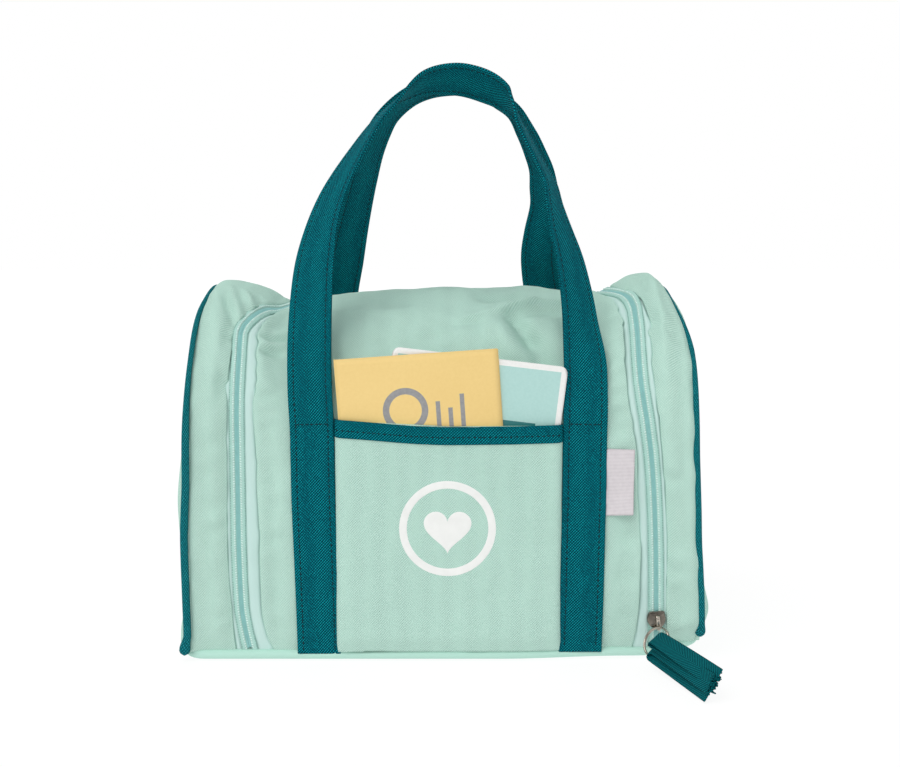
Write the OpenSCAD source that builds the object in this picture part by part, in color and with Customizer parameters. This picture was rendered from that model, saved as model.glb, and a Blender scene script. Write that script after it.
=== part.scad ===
// Soft play doctor's bag: a padded canvas barrel bag with two webbing handles,
// a front pocket that holds a booklet and a card, and a zipped flap at each end.
// X runs along the bag, -Y is the front, +Z is up. The origin is on the floor
// under the middle of the bag.

/* [Bag body] */
// Length of the bag between the outer faces of its end panels
bag_l = 260; // [250:1:280]
// Depth of the bag from front to back
bag_d = 150; // [140:1:160]
// Height of the bag at the ridge of its barrel top
bag_h = 192; // [185:1:200]
// Thickness of the padded canvas
canvas_t = 2.5; // [2:0.1:3]
// Thickness of the woven lining
lining_t = 0.8; // [0.5:0.1:1]
// Height of the sewn rim round the base
rim_h = 5; // [4:0.5:5]

/* [Zips] */
// Width of the gap in the canvas that shows the zip
zip_gap = 15.6; // [14:0.2:18]
// Width of one half of the coil
coil_w = 3; // [2.4:0.1:3.4]
// Free gap between the two halves of the coil
coil_gap = 1.8; // [1.6:0.1:2.2]

/* [Straps and handles] */
// Width of the webbing
strap_w = 22; // [18:0.5:25]
// Thickness of the webbing
strap_t = 1.6; // [1.2:0.1:2]
// Distance between the middles of the two straps on one side
strap_pitch = 135; // [130:1:138]
// Sideways shift of the strap pair on the front
strap_shift = 3; // [0:0.5:3]

/* [Pocket] */
// Height of the pocket's top edge above the floor
pocket_top = 120; // [115:1:120]
// Height of the binding tape on the pocket's edge
binding_h = 9.5; // [8:0.5:12]
// Width of the folded booklet
booklet_w = 80; // [70:1:80]
// Height of the folded booklet
booklet_h = 140; // [120:1:140]
// Width of the card
card_w = 86.8; // [70:0.2:86.8]
// Height of the card
card_h = 138; // [120:1:138]

/* [Pull] */
// Diameter of the split ring at the middle of its wire
ring_d = 15.2; // [14:0.2:16]
// Diameter of the split ring's wire
wire_d = 1.2; // [1:0.1:1.3]
// Height of the slider's lower edge above the floor
slider_z = 15.3; // [15:0.1:18]

/* [Hidden] */

$fn = 64;

r = bag_d / 2;              // radius of the barrel top and half the depth
wall_h = bag_h - r;         // height where the walls turn into the barrel
r_in = r - canvas_t;        // inner radius of the canvas
door_z = rim_h + 1.3;       // lowest edge of the end flaps
half_gap = zip_gap / 2;
tape_r = r_in + 0.1;        // inner radius of the zip tapes
tape_t = 0.8;
coil_r = tape_r + tape_t;   // inner radius of the coils
coil_t = 1.8;

mint = [0.74, 0.87, 0.80];
mint_dark = [0.62, 0.80, 0.72];
teal = [0.03, 0.38, 0.41];
teal_dark = [0.02, 0.30, 0.33];
nickel = [0.78, 0.77, 0.74];

// The zip lies on a line that leans inwards towards the top: straight up the
// walls, then curving in over the barrel. Each entry is the distance in from
// the end of the bag and the height.
zip_inset = [[21.7, -1], [26.7, 110], [31.3, 148], [36, 172], [44, 202]];
zip_lean = atan((26.7 - 21.7) / 111);
function zip_line(off) = [for (p = zip_inset) [bag_l / 2 - p[0] + off, p[1]]];
function zip_x(z) = bag_l / 2 - 21.7 - (z + 1) * tan(zip_lean);

// Plane of the end panel's inner face, also leaning inwards
end_lean = 2.2;
function end_x(z) = bag_l / 2 - 3 - z * tan(end_lean);

function unit(v) = v / norm(v);
function reversed(a) = [for (i = [len(a) - 1 : -1 : 0]) a[i]];
// The matrix that stands x, y, z on the three given directions at a point
function frame_at(p, a, b, c) = [
    [a[0], b[0], c[0], p[0]], [a[1], b[1], c[1], p[1]],
    [a[2], b[2], c[2], p[2]], [0, 0, 0, 1]];

// ---- shared shapes ----

// The barrel section: straight walls up to wall_h, half round above
module section(rad, zb) {
    translate([0, wall_h]) circle(rad);
    translate([-rad, zb]) square([2 * rad, wall_h - zb]);
}

// A solid barrel running along X
module barrel(rad, zb, len = 2 * bag_l) {
    rotate([90, 0, 90]) linear_extrude(len, center = true) section(rad, zb);
}

// The skin between two radii, open below
module skin(rad_in, rad_out, zb) {
    rotate([90, 0, 90]) linear_extrude(2 * bag_l, center = true)
        difference() {
            section(rad_out, zb);
            translate([0, wall_h]) circle(rad_in);
            translate([-rad_in, zb - 5]) square([2 * rad_in, wall_h - zb + 5]);
        }
}

// An upright prism that keeps what lies inside an outline seen from the front
module front_cut(pts) {
    rotate([90, 0, 0]) linear_extrude(2 * bag_d, center = true) polygon(pts);
}

// Everything between the two zips, pulled in by off on each side
module between_zips(off) {
    a = zip_line(-off);
    front_cut(concat(a, [for (p = reversed(a)) [-p[0], p[1]]]));
}

// A strip along the right zip, from offset a to offset b
module zip_strip(a, b) {
    front_cut(concat(zip_line(a), reversed(zip_line(b))));
}

// ---- bag body ----

module body_wrap() {
    color(mint) intersection() {
        skin(r_in, r, rim_h);
        between_zips(half_gap);
    }
}

module body_lining() {
    color(mint_dark) intersection() {
        union() {
            skin(r_in - lining_t, r_in, rim_h + 2);
            translate([-bag_l / 2, -r_in, rim_h + 2]) cube([bag_l, 2 * r_in, lining_t]);
        }
        between_zips(half_gap + 1);
    }
}

// A plate with rounded corners lying flat
module rounded_plate(lx, ly, rad, h) {
    linear_extrude(h) union() {
        square([lx - 2 * rad, ly], center = true);
        square([lx, ly - 2 * rad], center = true);
        for (sx = [-1, 1], sy = [-1, 1])
            translate([sx * (lx / 2 - rad), sy * (ly / 2 - rad)]) circle(rad);
    }
}

module base_panel() {
    color(mint_dark) rounded_plate(bag_l + 1, bag_d + 2, 9, rim_h);
}

module base_board() {
    color([0.55, 0.55, 0.52]) translate([0, 0, rim_h])
        rounded_plate(bag_l - 14, 2 * r_in - 3, 6, 2);
}

// ---- straps sewn down on the walls ----

strap_top = wall_h + 3.5;     // height of the cross stitches

module sewn_strap(x) {
    translate([x - strap_w / 2, -r - strap_t, rim_h])
        cube([strap_w, strap_t, strap_top - rim_h]);
}

front_l = strap_shift - strap_pitch / 2;
front_r = strap_shift + strap_pitch / 2;

module front_left_strap() { color(teal) sewn_strap(front_l); }
module front_right_strap() { color(teal) sewn_strap(front_r); }
module rear_left_strap() { color(teal) mirror([0, 1, 0]) sewn_strap(front_l); }
module rear_right_strap() { color(teal) mirror([0, 1, 0]) sewn_strap(front_r); }

// ---- front pocket ----

pk_l = front_l + strap_w / 2;      // left edge of the pocket
pk_r = front_r - strap_w / 2;      // right edge of the pocket
pk_face = -r - 4.6;                // front face of the pocket panel
pk_t = 1;                          // thickness of the pocket canvas

module front_pocket() {
    color(mint) difference() {
        translate([pk_l, pk_face, rim_h])
            cube([pk_r - pk_l, -r - pk_face, pocket_top - 1 - rim_h]);
        translate([pk_l + 1, pk_face + pk_t, rim_h + 1.5])
            cube([pk_r - pk_l - 2, 10, pocket_top]);
    }
}

module pocket_binding() {
    color(teal) difference() {
        translate([pk_l, pk_face - 0.8, pocket_top - binding_h])
            cube([pk_r - pk_l, pk_t + 1.4, binding_h]);
        // the canvas edge that the tape folds over
        translate([pk_l - 1, pk_face, pocket_top - binding_h - 1])
            cube([pk_r - pk_l + 2, pk_t, binding_h]);
        // the back leg of the tape is shorter and clears the side seams
        translate([pk_l - 1, pk_face + pk_t / 2, pocket_top - binding_h - 1])
            cube([pk_r - pk_l + 2, 3, 3]);
        for (x = [pk_l - 1, pk_r - 1.3])
            translate([x, pk_face + pk_t / 2, pocket_top - binding_h - 1])
                cube([2.3, 3, binding_h]);
    }
}

// A thin printed ring with a heart in it
module pocket_motif() {
    color([0.97, 0.97, 0.96])
        translate([pk_l + 56, pk_face, 68]) rotate([90, 0, 0]) linear_extrude(0.25) {
            difference() { circle(24); circle(20); }
            translate([0, -1]) {
                rotate(45) translate([-7, -7]) square(14);
                rotate(45) translate([0, 7]) circle(7);
                rotate(45) translate([7, 0]) circle(7);
            }
        }
}

module side_label() {
    color([0.80, 0.75, 0.77])
        translate([front_r + strap_w / 2, -r - 1.4, 74]) cube([13.5, 0.8, 32]);
}

// ---- zips ----

module zip_tape_in() { // half on the bag
    intersection() {
        skin(tape_r, tape_r + tape_t, rim_h);
        zip_strip(-half_gap, -coil_gap / 2);
    }
}

module zip_coil_in() {
    intersection() {
        skin(coil_r, coil_r + coil_t, rim_h + 1);
        zip_strip(-coil_gap / 2 - coil_w, -coil_gap / 2);
    }
}

module right_zip_body_tape() { color([0.80, 0.92, 0.87]) zip_tape_in(); }
module right_zip_body_coil() { color([0.55, 0.80, 0.78]) zip_coil_in(); }
module left_zip_body_tape() { color([0.80, 0.92, 0.87]) mirror([1, 0, 0]) zip_tape_in(); }
module left_zip_body_coil() { color([0.55, 0.80, 0.78]) mirror([1, 0, 0]) zip_coil_in(); }

// One crimped stop on the tape just outside the coil's end
module zip_stops() {
    color(nickel) for (sx = [-1, 1], sy = [-1, 1])
        translate([sx * (zip_x(9) - coil_gap / 2 - coil_w - 1.1), sy * (coil_r + 0.6), 9])
            cube([1.8, 1.2, 4], center = true);
}

// ---- end flaps ----

// Keeps what lies inside the end panel's inner face, grown by off
module inside_end(off, x0 = 0) {
    front_cut([[x0, -5], [end_x(-5) + off, -5], [end_x(230) + off, 230], [x0, 230]]);
}

// Centre line of the piping: up the front wall, over the barrel and down
pipe_rad = 2;
module piping_path(rad, bulb) {
    translate([end_x(0) + 1.5, 0, 0]) rotate([0, -end_lean, 0]) {
        translate([0, 0, wall_h]) rotate([90, 0, 90])
            rotate_extrude(angle = 180) translate([r + 1.2, 0]) circle(rad, $fn = 32);
        for (s = [-1, 1]) {
            translate([0, s * (r + 1.2), door_z + 3])
                cylinder(r = rad, h = wall_h - door_z - 3, $fn = 32);
            translate([0, s * (r + 1.2), door_z + 3]) sphere(bulb, $fn = 32);
        }
    }
}

module gusset() {
    difference() {
        intersection() {
            skin(r_in, r, door_z);
            inside_end(0);
            zip_strip(half_gap, 60);
        }
        piping_path(pipe_rad, 2.8);
    }
}

module end_panel() {
    difference() {
        intersection() {
            barrel(r, door_z);
            inside_end(3, 100);
            front_cut([[end_x(-5), -5], [200, -5], [200, 230], [end_x(230), 230]]);
        }
        piping_path(pipe_rad, 2.8);
    }
}

module end_lining() {
    intersection() {
        barrel(r_in - 0.2, door_z + 2);
        inside_end(0, 80);
        front_cut([[end_x(-5) - lining_t, -5], [200, -5], [200, 230], [end_x(230) - lining_t, 230]]);
    }
}

module zip_tape_out() { // half on the flap
    intersection() {
        skin(tape_r, tape_r + tape_t, door_z);
        zip_strip(coil_gap / 2, half_gap);
    }
}

module zip_coil_out() {
    intersection() {
        skin(coil_r, coil_r + coil_t, door_z + 1);
        zip_strip(coil_gap / 2, coil_gap / 2 + coil_w);
    }
}

module right_gusset() { color(mint) gusset(); }
module right_end_panel() { color(mint) end_panel(); }
module right_end_lining() { color(mint_dark) end_lining(); }
module right_piping() { color(teal_dark) piping_path(pipe_rad, 2.8); }
module right_zip_door_tape() { color([0.80, 0.92, 0.87]) zip_tape_out(); }
module right_zip_door_coil() { color([0.55, 0.80, 0.78]) zip_coil_out(); }
module left_gusset() { color(mint) mirror([1, 0, 0]) gusset(); }
module left_end_panel() { color(mint) mirror([1, 0, 0]) end_panel(); }
module left_end_lining() { color(mint_dark) mirror([1, 0, 0]) end_lining(); }
module left_piping() { color(teal_dark) mirror([1, 0, 0]) piping_path(pipe_rad, 2.8); }
module left_zip_door_tape() { color([0.80, 0.92, 0.87]) mirror([1, 0, 0]) zip_tape_out(); }
module left_zip_door_coil() { color([0.55, 0.80, 0.78]) mirror([1, 0, 0]) zip_coil_out(); }

// ---- slider, split ring and tassel ----

slider_l = 10.4;                       // length of the slider
slider_c = slider_z + slider_l / 2;    // height of its middle
plate_y = -(coil_r + coil_t + 0.4);    // underside of the outer plate
plate_t = 1.2;
bail_in = 3.9;                         // clear height under the bail
bail_t = 0.9;
bail_w = 1.8;
bail_lo = -3.8;                        // lower and upper end of the bail's window
bail_hi = 2.4;

// Outline of the slider: straight top edge, broad shoulders, tapering foot
module slider_outline(g) {
    polygon([[-3.9 - g, 5.2], [3.9 + g, 5.2], [4.2 + g, 4.6], [4.8 + g, 1.8], [4.8 + g, 0.2],
        [4.5 + g, -1.8], [3.8 + g, -3.6], [2.6, -4.8], [1.4, -5.2], [-1.4, -5.2], [-2.6, -4.8],
        [-3.8 - g, -3.6], [-4.5 - g, -1.8], [-4.8 - g, 0.2], [-4.8 - g, 1.8], [-4.2 - g, 4.6]]);
}

module slider() {
    translate([zip_x(slider_c), 0, slider_c]) rotate([0, -zip_lean, 0]) {
        // outer plate
        translate([0, plate_y, 0]) rotate([90, 0, 0]) linear_extrude(plate_t) slider_outline(0);
        // inner plate
        translate([0, -tape_r + 1.4, 0]) rotate([90, 0, 0]) linear_extrude(1) slider_outline(-0.6);
        // wedge between the two halves of the coil
        translate([-0.5, plate_y - 0.1, -4]) cube([1, -tape_r + 1.1 - plate_y, 7]);
        // bail
        translate([-bail_w / 2, plate_y - plate_t, 0]) rotate([0, 90, 0]) rotate([0, 0, 90])
            linear_extrude(bail_w) bail_side();
    }
}

// Side view of the bail, depth to the left and height up
module bail_side() {
    difference() {
        union() {
            translate([-bail_in - bail_t + 1.6, bail_lo - bail_t])
                square([bail_in + bail_t - 1.6 + 0.1, bail_hi - bail_lo + 2 * bail_t]);
            translate([-bail_in - bail_t, bail_lo - bail_t + 1.6])
                square([2, bail_hi - bail_lo + 2 * bail_t - 3.2]);
            for (h = [bail_lo - bail_t + 1.6, bail_hi + bail_t - 1.6])
                translate([-bail_in - bail_t + 1.6, h]) circle(1.6, $fn = 32);
        }
        translate([-bail_in + 0.7, bail_lo]) square([bail_in - 0.7, bail_hi - bail_lo]);
        translate([-bail_in, bail_lo + 0.7]) square([2, bail_hi - bail_lo - 1.4]);
        for (h = [bail_lo + 0.7, bail_hi - 0.7])
            translate([-bail_in + 0.7, h]) circle(0.7, $fn = 32);
    }
}

// Where the ring's wire hangs in the bail, and the ring's two directions
ring_top = [zip_x(18), plate_y - plate_t - 2.3, slider_c + bail_lo + wire_d / 2 + 0.45];
ring_down = unit([-0.30, -0.50, -0.81]);
ring_out0 = [0.86, -0.51, 0];
ring_out = unit(ring_out0 - (ring_out0 * ring_down) * ring_down);
ring_nrm = cross(ring_down, ring_out);
ring_mid = ring_top + ring_down * ring_d / 2;

module split_ring() {
    multmatrix(frame_at(ring_mid, ring_down, ring_out, ring_nrm))
        rotate_extrude() translate([ring_d / 2, 0]) circle(d = wire_d, $fn = 24);
}

// The tassel hangs on the ring's outer side and its tip lies on the floor
loop_at = ring_mid + ring_out * (ring_d / 2 - 0.1);
loop_dir = -ring_down;
tip = [124.5, -136, 7];
tassel_dir = unit(tip - loop_at);

module tassel() {
    difference() {
        union() {
            multmatrix(frame_at(loop_at, ring_out, ring_nrm, loop_dir))
                translate([0, 0, -2.5]) cylinder(r = 2.4, h = 5, $fn = 32);
            hull() {
                translate(loop_at + tassel_dir * 2.4) sphere(1.9, $fn = 16);
                translate(loop_at + tassel_dir * 6) cube([4, 3, 7], center = true);
                translate(tip + [-2, 7, 0]) cube([6, 5, 13.4], center = true);
                translate(tip) cube([7, 3, 12.6], center = true);
            }
        }
        multmatrix(frame_at(loop_at, ring_out, ring_nrm, loop_dir))
            translate([0, 0, -8]) cylinder(r = 1.5, h = 16, $fn = 32);
    }
}

module right_slider() { color(nickel) slider(); }
module right_split_ring() { color(nickel) split_ring(); }
module right_tassel() { color(teal) tassel(); }
module left_slider() { color(nickel) rotate([0, 0, 180]) slider(); }
module left_split_ring() { color(nickel) rotate([0, 0, 180]) split_ring(); }
module left_tassel() { color(teal) rotate([0, 0, 180]) tassel(); }

// ---- handles ----

// Each row gives the outer and the inner edge of the webbing. The webbing is
// flat against the wall at both feet and turns on edge at the top, as a strap
// does when it is bent into an arch.
front_rows = [
    [[-75.5, -76.9, 122], [-53.5, -76.9, 122]],
    [[-76.5, -75.5, 136], [-54.2, -76, 136]],
    [[-77, -69.5, 158], [-54.8, -71, 158]],
    [[-76.6, -58, 180], [-55, -63, 180]],
    [[-74.7, -48, 199], [-54.5, -57, 199]],
    [[-70, -38, 217], [-53, -51.5, 217]],
    [[-64.5, -30.5, 231], [-49, -46, 233]],
    [[-57.5, -25, 243], [-43.5, -41, 247]],
    [[-47.5, -18, 258], [-37.5, -37, 259.5]],
    [[-38.5, -12, 270], [-31.5, -33, 270.5]],
    [[-28.5, -6.5, 280], [-24.5, -28, 280]],
    [[-17, -3, 285], [-17.5, -23.5, 290]],
    [[-8, -1.8, 287], [-10, -20, 297]],
    [[2, -1.6, 287], [0, -17.5, 300.5]],
    [[12, -1.6, 285.5], [11.5, -16.5, 301]],
    [[22, -1.8, 282], [25, -17.5, 297]],
    [[31, -3, 279], [35, -21, 288.5]],
    [[37, -7, 277], [37.5, -27.5, 279]],
    [[42.5, -10, 270], [39, -31, 269.5]],
    [[47.5, -13.5, 260], [43.5, -35, 259]],
    [[53, -17.5, 250], [48.5, -39, 249]],
    [[58.5, -22.5, 240], [52, -43.5, 239.5]],
    [[62, -28.5, 228], [53.5, -48.5, 227.5]],
    [[66.5, -35.5, 215], [55, -53.5, 214]],
    [[71.5, -42.5, 201], [57, -59, 201]],
    [[75.3, -50, 185], [58.8, -64.5, 185]],
    [[78, -58, 169], [59.7, -70, 169]],
    [[81, -70.4, 150], [60, -73.4, 150]],
    [[81.5, -75, 133], [60, -74.7, 133]],
    [[81.5, -76.2, 127], [59.8, -75.8, 127]],
    [[81.5, -76.9, 122], [59.7, -76.9, 122]]];

rear_rows = [
    [[-75.5, 76.9, 122], [-53.5, 76.9, 122]],
    [[-75.5, 75.5, 136], [-53, 76, 136]],
    [[-74, 69.5, 158], [-51.5, 71.5, 158]],
    [[-71.5, 59, 178], [-50, 63.5, 178]],
    [[-67, 50, 195], [-46.8, 57.5, 195]],
    [[-62.5, 41, 212], [-44, 52, 212]],
    [[-59, 34, 226], [-41.8, 48, 227]],
    [[-55, 27, 240], [-39.5, 43, 241]],
    [[-50.5, 18, 254], [-36.5, 36, 254]],
    [[-45, 11, 266], [-31.5, 30, 266]],
    [[-36, 6.5, 277], [-25, 26, 275]],
    [[-25, 4.2, 287], [-16, 23, 283]],
    [[-13, 3.2, 293.5], [-7, 20.5, 287]],
    [[0, 3, 297], [2, 19.5, 288.5]],
    [[13, 3, 296.5], [12, 19.5, 288.5]],
    [[24, 3.5, 292], [22, 20.5, 286]],
    [[34, 5, 286], [30.5, 23, 281]],
    [[42, 8, 279], [38, 27.5, 275]],
    [[48.5, 12, 270.5], [43, 31, 265]],
    [[54.5, 16, 260], [47.5, 35, 254]],
    [[59.5, 20, 250], [50, 38.5, 245]],
    [[62.5, 25, 240], [50.5, 42, 235]],
    [[64, 32, 227], [50.5, 46.5, 226]],
    [[64.5, 40, 212], [47, 52, 212]],
    [[65, 47, 200], [45, 57, 200]],
    [[67, 55, 188], [45.5, 62.5, 188]],
    [[70, 62.5, 174], [48, 67, 174]],
    [[74, 70, 155], [53, 72.5, 155]],
    [[79, 75.5, 136], [57.5, 76.2, 136]],
    [[81.5, 76.9, 122], [59.7, 76.9, 122]]];

// A ribbon of even thickness through the rows of edge points
module webbing(rows) {
    n = len(rows);
    mids = [for (p = rows) (p[0] + p[1]) / 2];
    tans = [for (i = [0 : n - 1])
        i == 0 || i == n - 1 ? (i == 0 ? [0, 0, 1] : [0, 0, -1])
        : unit(mids[i + 1] - mids[i - 1])];
    offs = [for (i = [0 : n - 1]) unit(cross(rows[i][1] - rows[i][0], tans[i])) * strap_t / 2];
    pts = [for (i = [0 : n - 1]) each [
        rows[i][0] - offs[i], rows[i][1] - offs[i], rows[i][1] + offs[i], rows[i][0] + offs[i]]];
    faces = concat(
        [[0, 1, 2, 3]],
        [for (i = [0 : n - 2], k = [0 : 3]) let (a = 4 * i + k, b = 4 * i + (k + 1) % 4)
            each [[a, a + 4, b + 4], [a, b + 4, b]]],
        [[4 * n - 1, 4 * n - 2, 4 * n - 3, 4 * n - 4]]);
    polyhedron(pts, faces, convexity = 6);
}

module front_handle() { color(teal) webbing(front_rows); }
module rear_handle() { color(teal_dark) webbing(rear_rows); }

// ---- what is in the pocket ----

// A flat piece hung from its top left corner and turned in its own plane
module leaf(x, z, w, h, turn, y0, t) {
    translate([x, y0, z]) rotate([0, -turn, 0]) translate([0, 0, -h]) cube([w, t, h]);
}

module booklet() {
    color([0.94, 0.82, 0.54]) {
        leaf(-53, 152, booklet_w, booklet_h, 4, -r - 2.6, 0.5);
        leaf(-53, 152, booklet_w, booklet_h, 4, -r - 1.9, 0.5);
        // the folded spine that joins the two leaves
        leaf(-53, 152, 0.5, booklet_h, 4, -r - 2.6, 1.2);
    }
}

module card() {
    color([0.70, 0.85, 0.83]) leaf(-24.3, 158.4, card_w, card_h, -6.8, -r - 1.3, 0.4);
}

body_wrap();
body_lining();
base_panel();
base_board();
front_pocket();
pocket_binding();
pocket_motif();
side_label();
front_left_strap();
front_right_strap();
rear_left_strap();
rear_right_strap();
right_zip_body_tape();
right_zip_body_coil();
left_zip_body_tape();
left_zip_body_coil();
zip_stops();
right_gusset();
right_end_panel();
right_end_lining();
right_piping();
right_zip_door_tape();
right_zip_door_coil();
left_gusset();
left_end_panel();
left_end_lining();
left_piping();
left_zip_door_tape();
left_zip_door_coil();
right_slider();
right_split_ring();
right_tassel();
left_slider();
left_split_ring();
left_tassel();
front_handle();
rear_handle();
booklet();
card();
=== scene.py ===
import math

import bpy
import numpy as np
from mathutils import Matrix, Vector


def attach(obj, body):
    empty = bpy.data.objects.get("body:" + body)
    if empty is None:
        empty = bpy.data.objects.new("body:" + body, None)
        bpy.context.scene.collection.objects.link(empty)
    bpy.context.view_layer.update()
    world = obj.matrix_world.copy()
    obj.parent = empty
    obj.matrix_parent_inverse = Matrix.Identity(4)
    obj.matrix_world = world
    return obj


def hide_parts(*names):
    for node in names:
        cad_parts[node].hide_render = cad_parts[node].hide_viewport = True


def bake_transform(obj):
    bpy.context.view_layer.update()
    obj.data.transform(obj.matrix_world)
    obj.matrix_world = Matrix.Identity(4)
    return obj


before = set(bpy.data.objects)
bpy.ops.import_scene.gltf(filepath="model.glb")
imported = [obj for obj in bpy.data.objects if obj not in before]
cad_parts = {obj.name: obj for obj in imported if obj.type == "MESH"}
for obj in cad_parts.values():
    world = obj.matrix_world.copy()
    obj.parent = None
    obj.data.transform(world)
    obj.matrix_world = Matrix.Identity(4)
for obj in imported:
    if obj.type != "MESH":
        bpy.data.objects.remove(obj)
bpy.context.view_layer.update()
RNG = np.random.default_rng(7)

# ---------------------------------------------------------------- camera, light, floor
# All lengths below are millimetres until a mesh is made.
scene = bpy.context.scene
cam_data = bpy.data.cameras.new("photo_camera")
cam_data.sensor_fit = "HORIZONTAL"
cam_data.sensor_width = 36.0
cam_data.lens = 1429.0 / 900.0 * 36.0
cam_data.clip_start, cam_data.clip_end = 0.02, 30.0
cam = bpy.data.objects.new("photo_camera", cam_data)
cam.location = (0.0037, -0.775, 0.2185)
cam.rotation_euler = (math.radians(90 - 6.4), 0, 0)
scene.collection.objects.link(cam)
scene.camera = cam

scene.view_settings.view_transform = "Standard"
scene.view_settings.look = "None"
scene.view_settings.exposure = 0.0

world = bpy.data.worlds.new("studio")
scene.world = world
world.use_nodes = True
wn = world.node_tree
bg = wn.nodes["Background"]
bg.inputs["Color"].default_value = (0.98, 0.99, 1.0, 1)
bg.inputs["Strength"].default_value = 0.51
# the backdrop is seen as plain white, whatever the light on the bag is
seen = wn.nodes.new("ShaderNodeBackground")
seen.inputs["Color"].default_value = (1, 1, 1, 1)
seen.inputs["Strength"].default_value = 1.0
path_node = wn.nodes.new("ShaderNodeLightPath")
mixer = wn.nodes.new("ShaderNodeMixShader")
wn.links.new(path_node.outputs["Is Camera Ray"], mixer.inputs[0])
wn.links.new(bg.outputs[0], mixer.inputs[1])
wn.links.new(seen.outputs[0], mixer.inputs[2])
wn.links.new(mixer.outputs[0], wn.nodes["World Output"].inputs[0])


def sun_light(name, direction, strength, angle, colour=(1, 1, 1)):
    data = bpy.data.lights.new(name, "SUN")
    data.energy = strength
    data.angle = math.radians(angle)
    data.color = colour
    ob = bpy.data.objects.new(name, data)
    ob.rotation_mode = "QUATERNION"
    ob.rotation_quaternion = Vector(direction).to_track_quat("Z", "Y")
    ob.location = Vector(direction)
    scene.collection.objects.link(ob)
    return ob


sun_light("key", (-0.62, -0.66, 0.98), 1.37, 52, (1.0, 0.99, 0.975))
sun_light("fill", (0.75, -0.75, 0.6), 0.34, 60)
sun_light("rim", (0.15, 0.9, 0.8), 0.33, 50)
sun_light("top", (-0.15, -0.1, 1.0), 0.16, 60)


# ---------------------------------------------------------------- mesh helpers
def link(obj):
    scene.collection.objects.link(obj)
    return obj


def mesh_from(name, verts, quads=None, tris=None, uv=None, smooth=True):
    """verts (n,3) in mm, quads (m,4), tris (k,3), uv (n,2) in mm per vertex, or a pair (quad uv, tri uv) per corner."""
    verts = np.asarray(verts, float).reshape(-1, 3)
    quads = np.zeros((0, 4), int) if quads is None else np.asarray(quads, int).reshape(-1, 4)
    tris = np.zeros((0, 3), int) if tris is None else np.asarray(tris, int).reshape(-1, 3)
    me = bpy.data.meshes.new(name)
    me.vertices.add(len(verts))
    me.vertices.foreach_set("co", (verts * 0.001).astype(np.float32).ravel())
    loops = np.concatenate([quads.ravel(), tris.ravel()]).astype(np.int32)
    me.loops.add(len(loops))
    me.loops.foreach_set("vertex_index", loops)
    starts = np.concatenate([np.arange(len(quads)) * 4, len(quads) * 4 + np.arange(len(tris)) * 3]).astype(np.int32)
    totals = np.concatenate([np.full(len(quads), 4), np.full(len(tris), 3)]).astype(np.int32)
    me.polygons.add(len(starts))
    me.polygons.foreach_set("loop_start", starts)
    me.polygons.foreach_set("loop_total", totals)
    me.polygons.foreach_set("use_smooth", np.full(len(starts), smooth))
    if uv is not None:
        layer = me.uv_layers.new(name="weave")
        if isinstance(uv, tuple):
            data = np.concatenate([np.asarray(uv[0], float).reshape(-1, 2), np.asarray(uv[1], float).reshape(-1, 2)])
        else:
            data = np.asarray(uv, float).reshape(-1, 2)[loops]
        layer.data.foreach_set("uv", data.astype(np.float32).ravel())
    me.update(calc_edges=True)
    me.validate()
    return link(bpy.data.objects.new(name, me))


def add_piece(obj, mat, body=None, slot=None, replaces=()):
    obj.data.materials.clear()
    obj.data.materials.append(mat)
    if body:
        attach(obj, body)
    if replaces:
        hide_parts(*replaces)
    return obj


class Build:
    """Collects several grids and blobs into one mesh."""

    def __init__(self):
        self.v, self.q, self.t, self.uv, self.n = [], [], [], [], 0

    def add(self, verts, quads=None, tris=None, uv=None):
        verts = np.asarray(verts, float).reshape(-1, 3)
        self.v.append(verts)
        self.uv.append(np.zeros((len(verts), 2)) if uv is None else np.asarray(uv, float).reshape(-1, 2))
        if quads is not None and len(quads):
            self.q.append(np.asarray(quads, int).reshape(-1, 4) + self.n)
        if tris is not None and len(tris):
            self.t.append(np.asarray(tris, int).reshape(-1, 3) + self.n)
        self.n += len(verts)

    def grid(self, P, uv=None, wrap_j=False, wrap_i=False, flip=False):
        ni, nj = P.shape[:2]
        q = grid_quads(ni, nj, wrap_i, wrap_j)
        if flip:
            q = q[:, ::-1]
        self.add(P.reshape(-1, 3), q, None, None if uv is None else uv.reshape(-1, 2))

    def loft(self, P, uv=None, flip=False):
        """Closed loops P[i, j], capped at both ends."""
        ni, nj = P.shape[:2]
        q = grid_quads(ni, nj, False, True)
        c0, c1 = P[0].mean(0), P[-1].mean(0)
        verts = np.concatenate([P.reshape(-1, 3), [c0, c1]])
        j = np.arange(nj)
        k = (j + 1) % nj
        a, b = ni * nj, ni * nj + 1
        t0 = np.stack([np.full(nj, a), j, k], 1)
        t1 = np.stack([np.full(nj, b), (ni - 1) * nj + k, (ni - 1) * nj + j], 1)
        t = np.concatenate([t0, t1])
        if flip:
            q, t = q[:, ::-1], t[:, ::-1]
        if uv is not None:
            u = uv.reshape(-1, 2)
            u = np.concatenate([u, [uv[0].mean(0), uv[-1].mean(0)]])
        else:
            u = None
        self.add(verts, q, t, u)

    def make(self, name, smooth=True):
        v = np.concatenate(self.v)
        q = np.concatenate(self.q) if self.q else None
        t = np.concatenate(self.t) if self.t else None
        return mesh_from(name, v, q, t, np.concatenate(self.uv), smooth)


def grid_quads(ni, nj, wrap_i=False, wrap_j=False):
    i = np.arange(ni if wrap_i else ni - 1)
    j = np.arange(nj if wrap_j else nj - 1)
    I, J = np.meshgrid(i, j, indexing="ij")
    I2, J2 = (I + 1) % ni, (J + 1) % nj
    return np.stack([I * nj + J, I2 * nj + J, I2 * nj + J2, I * nj + J2], -1).reshape(-1, 4)


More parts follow.
